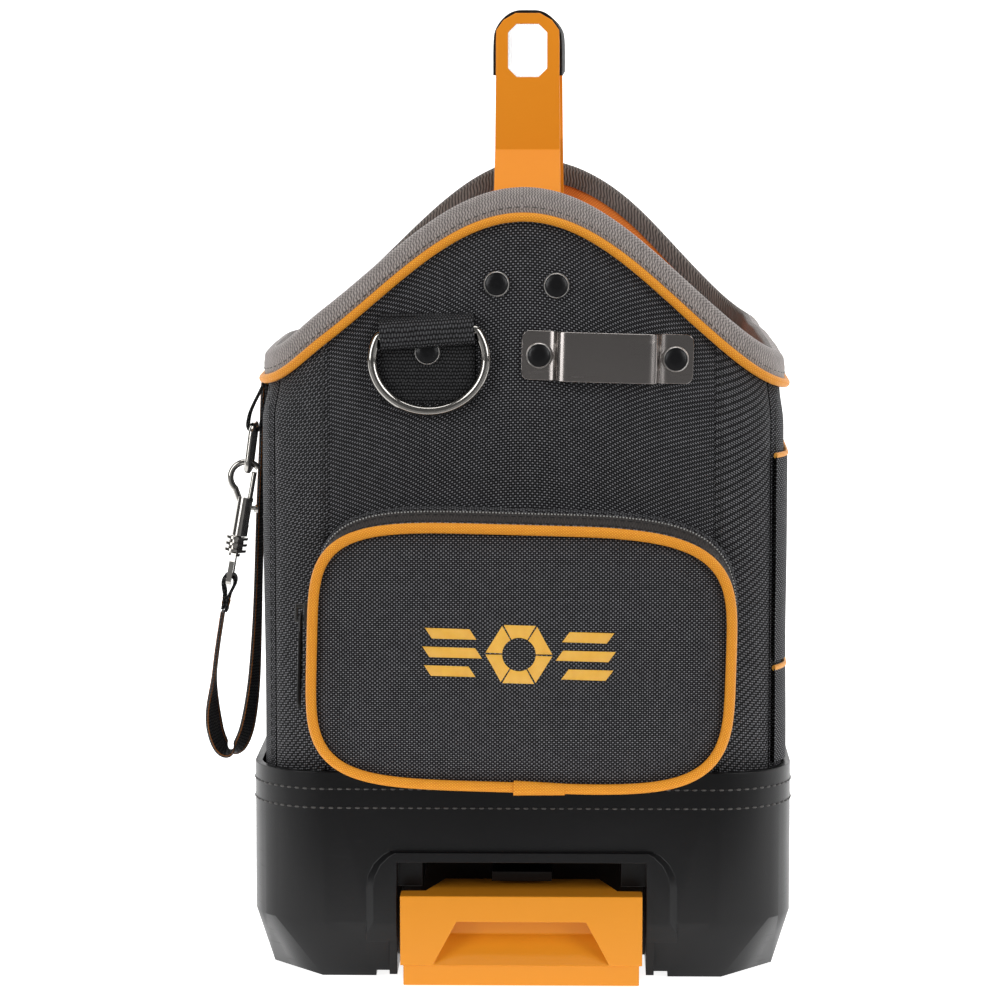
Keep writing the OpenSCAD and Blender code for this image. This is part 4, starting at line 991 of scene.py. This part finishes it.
def makeBadge():
    front = pocket["face"] + badge["y"]
    points, faces, uvs = [], [], []

    def raised(ring, turn):
        start, n = len(points), len(ring)
        cx, cz = (sum(p[axis] for p in ring) / n for axis in (0, 1))
        for scale, height in ((1.0, -0.0006), (1.0, badge["high"] * 0.45), (0.93, badge["high"] * 0.85)):
            for x, z in ring:
                shrink = 1 - (1 - scale) * 0.6
                points.append(onFront(cx + (x - cx) * shrink - 0.001, front - height, cz + (z - cz) * scale + 0.002))
        for low in (start, start + n):
            faces.extend((low + k, low + (k + 1) % n, low + n + (k + 1) % n, low + n + k) for k in range(n))
        faces.append(tuple(start + 2 * n + k for k in range(n)))
        for face in faces[len(uvs):]:
            uvs.append([(points[v].x * math.cos(turn) + points[v].z * math.sin(turn), 0.0) for v in face])

    for k in range(6):
        a0, a1 = math.radians(60 * k + 1.2), math.radians(60 * k + 58.8)
        turns = [(badge["nut"], a0), (badge["nut"], a1)] + [(badge["hole"], mix(a1, a0, t / 5)) for t in range(6)]
        ring = [(r * math.cos(a), r * math.sin(a)) for r, a in turns]
        raised(ring, math.radians(60 * k + 30) + math.pi / 2)
    for side in (-1, 1):
        for k in (-1, 0, 1):
            z = k * badge["pitch"]
            inner = 0.0215 - 0.0030 * (1 - abs(k)) + 0.001
            outer = inner + badge["barLong"] - 0.004 * abs(k)
            half = badge["bar"] / 2
            slant = badge["slant"] * side
            ends = [(inner, -1), (outer, -1), (outer, 1), (inner, 1)]
            ring = [(side * x + slant * edge, z + half * edge) for x, edge in ends]
            raised(ring, 0.0)
    piece = newPiece("pocketBadge", points, faces, uvs, 60)
    dress(piece, "satin", stands=["pocket_emblem"])


pull = {"halfThick": 0.0009, "halfWide": 0.0040, "link": 0.0007, "ribs": 10, "rib": (0.0052, 0.0010, 0.0004)}


def makeZipperPull():
    finishNode("zipper_slider", "gunmetal", 0.0004)
    low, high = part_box("zipper_pull")
    x, y = (low[0] + high[0]) / 2, (low[1] + high[1]) / 2
    tilt = math.tan(rim["fall"])
    top, bottom = high[2] - 0.0012, low[2] + 0.0005
    midZ = (top + bottom) / 2

    def at(z, dy=0.0, dx=0.0):
        return Vector((x + (z - midZ) * tilt + dx, y + dy, z))

    wide, thick = pull["halfWide"], pull["halfThick"]
    half = [(wide - 0.0014, top - 0.0080), (wide - 0.0003, top - 0.0110), (wide, bottom + 0.006),
            (wide - 0.0006, bottom + 0.0018), (wide - 0.0024, bottom)]
    outline = [(-dy, z) for dy, z in half] + half[::-1]
    points = [at(z, dy, dx) for dx in (-thick, thick) for dy, z in outline]
    n = len(outline)
    faces = [tuple(range(n)), tuple(range(n, 2 * n))] + [(k, (k + 1) % n, n + (k + 1) % n, n + k) for k in range(n)]
    tag = newPiece("zipperTag", points, faces, [[(points[v].z, points[v].y) for v in f] for f in faces], 50)
    dress(soften(tag, 0.0005), "tag", "zip_pull", ["zipper_pull"])
    side = [(-0.0086, 0.0022), (-0.0045, 0.0028), (-0.0006, 0.0024)]
    link = [at(top + z, -dy) for z, dy in side] + [at(top + 0.0002)] + [at(top + z, dy) for z, dy in reversed(side)]
    ring = sweepPiece("zipperLink", smoothPath(link, 4), roundSection(pull["link"], 10), Vector((1, 0, 0)))
    dress(ring, "enamel", "zip_pull")
    last = pull["ribs"] - 1
    ribs = [facing(at(mix(top - 0.014, bottom + 0.010, k / last), 0, face * thick), Vector((0, 1, 0)),
                   Vector((face, 0, 0)))
            for k in range(pull["ribs"]) for face in (-1, 1)]
    dress(manyCopies("zipperTagRibs", boxShape(*pull["rib"]), ribs), "tag", "zip_pull")


makePocket()
makeBadge()
makeZipperPull()
print("front pocket ready")


rivet = {
    "radius": 0.0064,
    "head": [(0.0, 0.0019), (0.0022, 0.0020), (0.0042, 0.0018), (0.0050, 0.0014), (0.0053, 0.0013), (0.0057, 0.0017),
             (0.0061, 0.0015), (0.0064, 0.0008), (0.0064, 0.0), (0.0, 0.0)],
    "tail": [(0.0, 0.0013), (0.0030, 0.0016), (0.0046, 0.0013), (0.0050, 0.0006), (0.0050, 0.0), (0.0, 0.0)],
}


def makeRivets(name, node, spots):
    points, faces, uvs = [], [], []
    for x, z, headY, tailY in spots:
        for profile, y, direction in ((rivet["head"], headY, headY - tailY), (rivet["tail"], tailY, tailY - headY)):
            turn = Matrix.Translation((x, y, z)) @ Matrix.Rotation(math.radians(90 if direction < 0 else -90), 4, "X")
            newPoints, newFaces, newUvs = turnedShape(profile)
            start = len(points)
            points += [turn @ Vector(p) for p in newPoints]
            faces += [tuple(start + v for v in face) for face in newFaces]
            uvs += newUvs
    piece = newPiece(name, points, faces, uvs, 60)
    dress(piece, "rivet", stands=[node])


def makeRivetSets():
    inner = frontFace + bag["panel"] + bag["gap"] + bag["lining"] + 0.0002
    low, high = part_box("handle_rivets")
    z = (low[2] + high[2]) / 2
    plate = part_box("handle_backing_plates")[0][1] + 0.0022
    spots = []
    for x in (low[0] + rivet["radius"], high[0] - rivet["radius"]):
        drop = -(x - rim["peak"]) * math.tan(rim["fall"])
        spots += [(x, z + drop, frontFace - 0.0001, plate), (x, z + drop, -frontFace + 0.0001, -plate)]
    makeRivets("handleRivets", "handle_rivets", spots)
    low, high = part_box("d_ring_rivet")
    makeRivets("ringRivet", "d_ring_rivet", [((low[0] + high[0]) / 2, (low[2] + high[2]) / 2, frontFace - 0.0020, inner)])
    low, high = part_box("tape_clip_rivets")
    ends = [(low[0] + rivet["radius"], high[2] - rivet["radius"]), (high[0] - rivet["radius"], low[2] + rivet["radius"])]
    makeRivets("clipRivets", "tape_clip_rivets", [(x, z, frontFace - 0.0016, inner) for x, z in ends])


# D-ring and the webbing that holds it. The fold's points are out from the bar and up from it.
ring = {"wire": 0.0025, "wide": 0.028, "deep": 0.0255, "bowDrop": 0.013, "start": 13 / 25.5, "reach": 0.0232,
        "straight": (-0.018, -0.012, -0.006, 0, 0.006, 0.012, 0.018), "cloth": 0.0012, "tailUp": 0.0096,
        "uvGirth": 0.0225,
        "fold": [(0.0034, 0.0078), (0.0018, 0.0070), (-0.0014, 0.0058), (-0.0035, 0.0034), (-0.0038, 0),
                 (-0.0038, -0.0034),
                 (-0.0026, -0.0058), (0.0002, -0.0066), (0.0036, -0.0064)],
        "stitch": 0.0026, "stitchGap": 0.0010, "inset": 0.0026, "boxUp": 0.0105}


def makeRing():
    bar, joint = jointNamed("d_ring_swing")
    right = -Vector(joint["axis"]).normalized()
    outward = Vector((0, -1, 0))
    upward = outward.cross(right)
    upward = upward if upward.z > 0 else -upward
    start = -math.asin(ring["start"])
    arc = [mix(start, math.pi - start, k / 80) for k in range(81)]
    loop = [(ring["wide"] * math.cos(a), -ring["bowDrop"] - ring["deep"] * math.sin(a)) for a in arc]
    loop += [(x, 0.0) for x in ring["straight"]]
    path = [bar + right * x + upward * z for x, z in loop]
    piece = sweepPiece("dRing", path, roundSection(ring["wire"], 20), -outward, closed=True)
    dress(piece, "nickel", "d_ring", ["d_ring"])
    strip = roundedCorners([Vector((y, z, 0)) for y, z in ring["fold"]], 2)

    def sleeve(u, v):
        p, ahead = pointAlong(strip, v)
        normal = -outward * ahead.y - upward * ahead.x
        place = bar + right * mix(-ring["reach"], ring["reach"], u) - outward * p.x + upward * p.y
        return place + normal * ring["cloth"] / 2, normal

    piece = clothSheet("ringSleeve", 30, 60, sleeve, ring["cloth"], (2 * ring["reach"], ring["uvGirth"]), turned=True)
    # The fold round the bar takes the lighter webbing copy: painted light.
    dress(piece, "litRollWebbing", stands=["d_ring_webbing"])
    low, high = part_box("d_ring_webbing")
    left, rightEdge, bottom = low[0], high[0], low[2]
    top = bar.z + ring["tailUp"]
    wide, tall = rightEdge - left, top - bottom
    wall = frontFace - bag["gap"]

    def tail(u, v):
        edge = min(min(u, 1 - u) * wide, min(v, 1 - v) * tall)
        lift = 0.0013 + 0.0005 * ease(0, 0.0018, edge) - 0.00025 * math.exp(-(((v * tall - 0.006) / 0.0015) ** 2))
        return Vector((mix(left, rightEdge, u), wall - lift + 0.0002, mix(bottom, top, v))), outward

    dress(clothSheet("ringTail", 60, 50, tail, ring["cloth"], (wide, tall), turned=True), "webbing")
    x0, x1, z0, z1 = left + ring["inset"], rightEdge - ring["inset"], bottom + ring["inset"], bottom + ring["boxUp"]
    box = [Vector((x, wall - 0.0018, z)) for x, z in ((x0, z0), (x1, z0), (x1, z1), (x0, z1), (x0, z0))]
    rows = []
    for ends in zip(box, box[1:]):
        rows += stitchRow(ends, lambda p: outward, ring["stitch"], ring["stitchGap"])
    dress(manyCopies("ringTailStitching", stitchShape(ring["stitch"], 0.0003), rows), "thread")


# Tape clip: one strip of spring steel. The bends' points are along it and out from the bag.
clip = {"long": 0.0423, "halfWide": 0.0122, "corner": 0.004, "thick": 0.0012, "pitch": 0.00032,
        "bends": [(0.0186, 0.00705), (0.0212, 0.00690), (0.0240, 0.0056), (0.0252, 0.0020), (0.0284, 0.00065),
                  (0.0310, 0.00065), (0.0423, 0.00065)]}


def makeClip():
    low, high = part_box("tape_clip")
    middle = Vector(((low[0] + high[0]) / 2, 0, (low[2] + high[2]) / 2))
    bends = [(-x, y) for x, y in reversed(clip["bends"])] + clip["bends"]
    line = evenly(roundedCorners([Vector((x, y, 0)) for x, y in bends], 3), clip["pitch"])
    t, corner = rim["fall"], clip["corner"]

    def strip(u, v):
        p, ahead = pointAlong(line, u, 4)
        inward = corner - (clip["long"] - abs(p.x))
        half = clip["halfWide"] if inward < 0 else clip["halfWide"] - corner + math.sqrt(max(corner ** 2 - inward ** 2,
                0))
        w = mix(-half, half, v)
        normal = Vector((-ahead.y * math.cos(t), -ahead.x, ahead.y * math.sin(t)))
        normal = -normal if normal.y > 0 else normal
        place = middle + Vector((p.x * math.cos(t) + w * math.sin(t), 0, -p.x * math.sin(t) + w * math.cos(t)))
        place.y = frontFace - bag["gap"] - p.y
        return place + normal * clip["thick"] / 2, normal

    piece = clothSheet("tapeClip", 300, 12, strip, clip["thick"], (0.1, 0.024), sharp=50)
    dress(soften(piece, 0.00025, angle=60), "clip", stands=["tape_clip"])


makeRivetSets()
makeRing()
makeClip()
print("fittings ready")


sidePockets = {
    "cloth": 0.0013, "bulge": 0.0050, "frontBulge": 0.0008, "droop": 0.0022, "stitch": 0.0030, "stitchGap": 0.0014,
    "edges": {"right": [-0.156, -0.052, 0.052, 0.156], "left": [-0.082, 0.038, 0.156]},
    "tiers": {"Upper": (0.1590, 0.262), "Lower": (tubTop + 0.002, 0.1555)},
}
sideLength = 2 * quarter + 2 * flatY - 2 * seamArc


# along runs from the front seam to the rear seam of that side.
def sidePlace(side, along):
    flat, normal = bagOutline(flatX + seamArc + along)
    return Vector((flat.x * side, flat.y, 0)), Vector((normal.x * side, normal.y, 0))


def bowAt(y, edges, v):
    for k, (a, b) in enumerate(zip(edges, edges[1:])):
        if a <= y <= b:
            most = sidePockets["frontBulge"] if a < -0.1 else sidePockets["bulge"]
            return most * math.sin(math.pi * (y - a) / (b - a)) ** 0.8 * (0.55 + 0.45 * v)
    return 0.0


def pocketRow(side, edges, low, high, first):
    cloth = sidePockets["cloth"]

    def surface(u, v):
        along = mix(first, sideLength - 0.0006, u)
        flat, normal = sidePlace(side, along)
        top = high - 0.0003 - sidePockets["droop"] * (bowAt(flat.y, edges, 1) / sidePockets["bulge"])
        z = mix(low, top, v)
        off = bag["gap"] + cloth + bowAt(flat.y, edges, v) * ease(0, 0.25, v)
        off += 0.0005 * noise.noise(Vector((along * 20, z * 20, side * 3.1)))
        return flat + normal * off + Vector((0, 0, z)), normal

    return surface


def makeSidePockets():
    cloth, stitch = sidePockets["cloth"], sidePockets["stitch"]
    section = [(0.0011 * math.cos(a) * (1 if math.sin(a) < 0.5 else 0.8), 0.0014 * math.sin(a))
               for a in [math.pi * k / 6 for k in range(12)]]
    for sideName, side in (("right", 1), ("left", -1)):
        edges = sidePockets["edges"][sideName]
        first = 0.0006 if side > 0 else next(k * 0.001 for k in range(400)
                                             if sidePlace(side, k * 0.001)[0].y > edges[0] - 0.004)
        for tier, (low, high) in sidePockets["tiers"].items():
            name = sideName + tier
            surface = pocketRow(side, edges, low, high, first)
            piece = clothSheet(name + "Pockets", 200, 26, surface, cloth, (sideLength, high - low))
            dress(piece, "panel", stands=[sideName + "_" + tier.lower() + "_pockets"])
            hem = [surface(k / 200, 1) for k in range(201)]
            path = [point - normal * cloth / 2 + Vector((0, 0, 0.0004)) for point, normal in hem]
            trim = sweepPiece(name + "Trim", path, section, Vector((0, 0, 1)))
            dress(trim, "trim", stands=["side_pocket_trims"] if name == "rightUpper" else ())
            rows = []
            for y in (y + step for y in edges[1:-1] for step in (-0.0022, 0.0022)):
                x = side * (bag["halfWidth"] + bag["gap"] + cloth + 0.0002)
                path = [Vector((x, y, z)) for z in (low + 0.002, high - 0.003)]
                rows += stitchRow(path, lambda p: Vector((side, 0, 0)), stitch, sidePockets["stitchGap"])
            dress(manyCopies(name + "Stitching", stitchShape(stitch, 0.0003), rows), "thread")


rearPocket = {"bulge": 0.0062, "droop": 0.003, "inset": 0.0025}


def makeRearPocket():
    low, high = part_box("rear_pocket")
    left, right, bottom, top = low[0], high[0], low[2], high[2]
    wall, cloth, stitch = bag["halfLength"] + bag["gap"], sidePockets["cloth"], sidePockets["stitch"]

    def surface(u, v):
        x = mix(left, right, u)
        bow = math.sin(math.pi * u) ** 0.8
        z = mix(bottom, top - rearPocket["droop"] * bow, v)
        off = cloth + rearPocket["bulge"] * bow * (0.35 + 0.65 * v) * ease(0, 0.2, v)
        off += 0.0006 * noise.noise(Vector((x * 16, z * 16, 2.2)))
        return Vector((x, wall + off, z)), Vector((0, 1, 0))

    piece = clothSheet("rearPocket", 80, 40, surface, cloth, (right - left, top - bottom))
    dress(piece, "panel", stands=["rear_pocket"])
    path = [surface(k / 80, 1)[0] + Vector((0, -cloth / 2, 0.0004)) for k in range(81)]
    dress(sweepPiece("rearTrim", path, ovalSection(0.0012, 0.0020), Vector((0, 0, 1))), "trim",
          stands=["rear_pocket_trim"])
    rows = []
    for x in (left + rearPocket["inset"], right - rearPocket["inset"]):
        path = [Vector((x, wall + cloth + 0.0007, z)) for z in (bottom + 0.002, top - 0.002)]
        rows += stitchRow(path, lambda p: Vector((0, 1, 0)), stitch, sidePockets["stitchGap"])
    dress(manyCopies("rearStitching", stitchShape(stitch, 0.0003), rows), "thread")


innerPockets = {"deep": 0.0145, "corner": 0.003, "cells": 3, "cloth": 0.0014, "droop": 0.004}


def makeInnerPockets(sideName, side):
    low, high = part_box(sideName + "_inner_pockets")
    y0, y1, bottom, top = low[1], high[1], low[2], high[2]
    wall = side * (bag["halfWidth"] - bag["panel"] - bag["lining"] - 2 * bag["gap"])
    out = wall - side * innerPockets["deep"]
    r, cloth, cells = innerPockets["corner"], innerPockets["cloth"], innerPockets["cells"]
    half = [(wall, 0), (out + side * r, 0), (out, r)]
    corners = [Vector((x, y0 + step, 0)) for x, step in half] + [Vector((x, y1 - step, 0)) for x, step in reversed(half)]
    line = evenly(roundedCorners(corners, 2), 0.002)
    middle = Vector((wall, (y0 + y1) / 2, 0))
    long = (y1 - y0) / cells

    def surface(u, v):
        p, ahead = pointAlong(line, u)
        normal = Vector((ahead.y, -ahead.x, 0))
        normal = normal if normal.dot(p - middle) > 0 else -normal
        bow = math.sin(math.pi * ((p.y - y0) % long) / long)
        z = mix(bottom, top - innerPockets["droop"] * bow, v)
        return p + Vector((0, 0, z)) - Vector((side, 0, 0)) * 0.0006 * bow * v, normal

    def base(u, v):
        x, y = mix(wall, out + side * 0.0016, u), mix(y0 + 0.002, y1 - 0.002, v)
        return Vector((x, y, bottom + 0.0015)), Vector((0, 0, 1))

    def divider(y):
        def upright(u, v):
            return Vector((mix(wall, out + side * 0.0016, u), y, mix(bottom, top - 0.0005, v))), Vector((0, 1, 0))

        return upright

    piece = clothSheet(sideName + "InnerPockets", 160, 30, surface, cloth, (y1 - y0 + 0.03, top - bottom))
    dress(piece, "lining", stands=[sideName + "_inner_pockets"])
    for k in range(1, cells):
        y = mix(y0 + 0.0008, y1 - 0.0008, k / cells) + 0.0007
        dress(clothSheet(sideName + "Divider" + str(k), 6, 24, divider(y), cloth, (0.014, 0.15)), "lining")
    dress(clothSheet(sideName + "PocketFloor", 4, 20, base, cloth, (0.014, 0.29)), "lining")
    hem = [surface(k / 200, 1) for k in range(201)]
    path = [point - normal * cloth / 2 for point, normal in hem]
    dress(sweepPiece(sideName + "InnerTrim", path, ovalSection(0.0013, 0.0022), Vector((0, 0, 1))), "webbing")


makeSidePockets()
makeRearPocket()
makeInnerPockets("left", -1)
makeInnerPockets("right", 1)
print("pockets ready")


grip = {"thick": 0.0014, "ribs": 22, "ribFrom": 0.105, "groove": 0.0007, "grooveWide": 0.0011, "edge": 0.0004}
bore = {"half": 0.0097, "low": 0.4488, "high": 0.4752}  # the faces inside the hollow handle


def makeHandle():
    frameNode = finishNode("handle_frame", "handle", 0.0009, 3)
    # The faces inside the hollow take the near-white paint: painted light.
    frameNode.data.materials.append(stuff["bore"])
    for face in frameNode.data.polygons:
        x, y, z = frameNode.matrix_world @ face.center
        if abs(x - rim["peak"]) < bore["half"] and bore["low"] < z < bore["high"] and abs(face.normal.y) < 0.3:
            face.material_index = 1
    finishNode("handle_backing_plates", "zinc", 0.0003)
    low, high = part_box("handle_grip")
    middle, wide, top, bottom = (low[0] + high[0]) / 2, (high[0] - low[0]) / 2, high[2], low[2]
    half = [(wide, bottom), (wide, top - 0.0150), (wide - 0.0010, top - 0.0092), (wide - 0.0052, top - 0.0034),
            (0.0066, top)]
    outline = [Vector((x, z, 0)) for x, z in half + [(0, top)] + [(-x, z) for x, z in reversed(half)]]
    line = evenly(roundedCorners(outline, 2), 0.0011)
    pitch = 2 * grip["ribFrom"] / grip["ribs"]

    def surface(u, v):
        p, ahead = pointAlong(line, v)
        normal = Vector((ahead.y, 0, -ahead.x))
        y = mix(low[1], high[1], u)
        cut = 0.0
        if abs(y) < grip["ribFrom"]:
            cut = grip["groove"] * math.exp(-((((y / pitch) % 1 - 0.5) * pitch / grip["grooveWide"]) ** 2))
        cut *= ease(0, 0.12, v) * ease(0, 0.12, 1 - v)
        edge = grip["edge"] * (1 - ease(0, 0.002, min(u, 1 - u) * (high[1] - low[1])))
        return Vector((p.x + middle, y, p.y)) - normal * (cut + edge), normal

    piece = clothSheet("handleGrip", 300, len(line), surface, grip["thick"], (high[1] - low[1], 0.09), sharp=50)
    dress(piece, "grip", stands=["handle_grip"])


tub = {"coreX": 0.096, "coreY": 0.161, "corner": 0.039, "stitchRows": (0.0085, 0.0180), "stitch": 0.0026,
       "stitchStep": 0.0028, "stitchGap": 0.0016, "hole": 0.0018}


def makeBase():
    finishNode("base_tub", "tub", 0.0009, 3)
    finishNode("base_bottom_cover", "tub", 0.0004)
    finishNode("base_cover_screws", "zinc")
    finishNode("latch_block", "latch", 0.0008, 3)
    for name in ("latch_guide_screws", "latch_washers", "latch_springs"):
        finishNode(name, "zinc")
    coreX, coreY, corner = tub["coreX"], tub["coreY"], tub["corner"]
    around = 4 * coreX + 4 * coreY + 2 * math.pi * corner
    rows = []
    for down in tub["stitchRows"]:
        path = [roundedOutline(around * k / 480, coreX, coreY, corner, 0.0001)[0] + Vector((0, 0, tubTop - down))
                for k in range(481)]
        rows += stitchRow(path, lambda p: nearestNormal(p, coreX, coreY), tub["stitchStep"], tub["stitchGap"])
    dress(manyCopies("tubStitching", stitchShape(tub["stitch"], 0.00055), rows), "greyThread")
    # Dark marks beside each stitch stand in for the holes: painted shade.
    holeShadeSpots = [m @ Matrix.Translation((0.0022, 0, -0.00055)) for m in rows]
    dress(manyCopies("tubStitchHoleShade", stitchShape(tub["hole"], 0.00065), holeShadeSpots), "holeShade")


makeHandle()
makeBase()
print("handle and base ready")

stageSet = {"floor": (0.9, 0.9, 0.9), "front": (0.35, 0.35, 0.35), "glow": 0.9, "glowFrom": 0.48, "glowOver": 0.20,
            "half": 4.0, "near": -4.5, "back": 3.2, "bend": 0.9, "height": 4.0, "world": 0.14}
# name, place, aim, size across and up, power
lamps = [
    ("leftSoftbox", (-1.8, -1.9, 1.1), (0.0, -0.1, 0.25), (1.2, 2.0), 34),
    ("rightSoftbox", (1.8, -1.8, 1.2), (0.0, -0.1, 0.25), (1.2, 2.0), 33),
    ("topSoftbox", (0.0, -0.35, 2.1), (0.0, 0.0, 0.25), (1.8, 0.9), 18),
    ("leftRim", (-1.2, 0.6, 0.8), (0, 0, 0.25), (0.4, 1.4), 5),
    ("rightRim", (1.2, 0.6, 0.8), (0, 0, 0.25), (0.4, 1.4), 5),
]


def makeStage():
    bend, flatEnd = stageSet["bend"], stageSet["back"] - stageSet["bend"]
    profile = [(stageSet["near"], 0.0), (flatEnd, 0.0)]
    for a in (math.radians(90 * k / 12) for k in range(1, 13)):
        profile.append((flatEnd + bend * math.sin(a), bend - bend * math.cos(a)))
    profile.append((stageSet["back"], stageSet["height"]))
    points = [Vector((x, y, z - 0.0003)) for x in (-stageSet["half"], stageSet["half"]) for y, z in profile]
    n = len(profile)
    faces = [(k, k + 1, n + k + 1, n + k) for k in range(n - 1)]
    sweep = newPiece("backdrop", points, faces, None, 80)
    material, tree, surface = startMaterial("backdropPaper", 0.9, Specular_IOR_Level=0.0)
    depth = addNode(tree, "ShaderNodeSeparateXYZ",
                    {"Vector": addNode(tree, "ShaderNodeTexCoord").outputs["Object"]}).outputs["Y"]
    lit = calc(tree, "MULTIPLY", calc(tree, "ADD", depth, stageSet["glowFrom"]), 1 / stageSet["glowOver"], clamp=True)
    # pale all over, but the front part throws little light back at the object
    seen = calc(tree, "MAXIMUM", lit, addNode(tree, "ShaderNodeLightPath").outputs["Is Camera Ray"])
    tree.links.new(blendColors(tree, seen, stageSet["front"], stageSet["floor"]), surface.inputs["Base Color"])
    tree.links.new(blendColors(tree, seen, (0.0, 0.0, 0.0), (1.0, 1.0, 1.0)), surface.inputs["Emission Color"])
    surface.inputs["Emission Strength"].default_value = stageSet["glow"]
    sweep.data.materials.append(material)
    for name, place, aim, size, energy in lamps:
        data = bpy.data.lights.new(name, "AREA")
        data.shape = "RECTANGLE"
        data.size, data.size_y = size
        data.energy = energy
        lamp = bpy.data.objects.new(name, data)
        lamp.location = place
        lamp.rotation_euler = (Vector(aim) - Vector(place)).to_track_quat("-Z", "Y").to_euler()
        scene.collection.objects.link(lamp)
    world = bpy.data.worlds.new("studio")
    scene.world = world
    world.use_nodes = True
    tree = world.node_tree
    sky = tree.nodes["Background"]
    sky.inputs["Color"].default_value = (1, 1, 1, 1)
    direct = addNode(tree, "ShaderNodeLightPath").outputs["Is Camera Ray"]
    tree.links.new(calc(tree, "MAXIMUM", direct, stageSet["world"]), sky.inputs["Strength"])


makeStage()
print("stage ready")
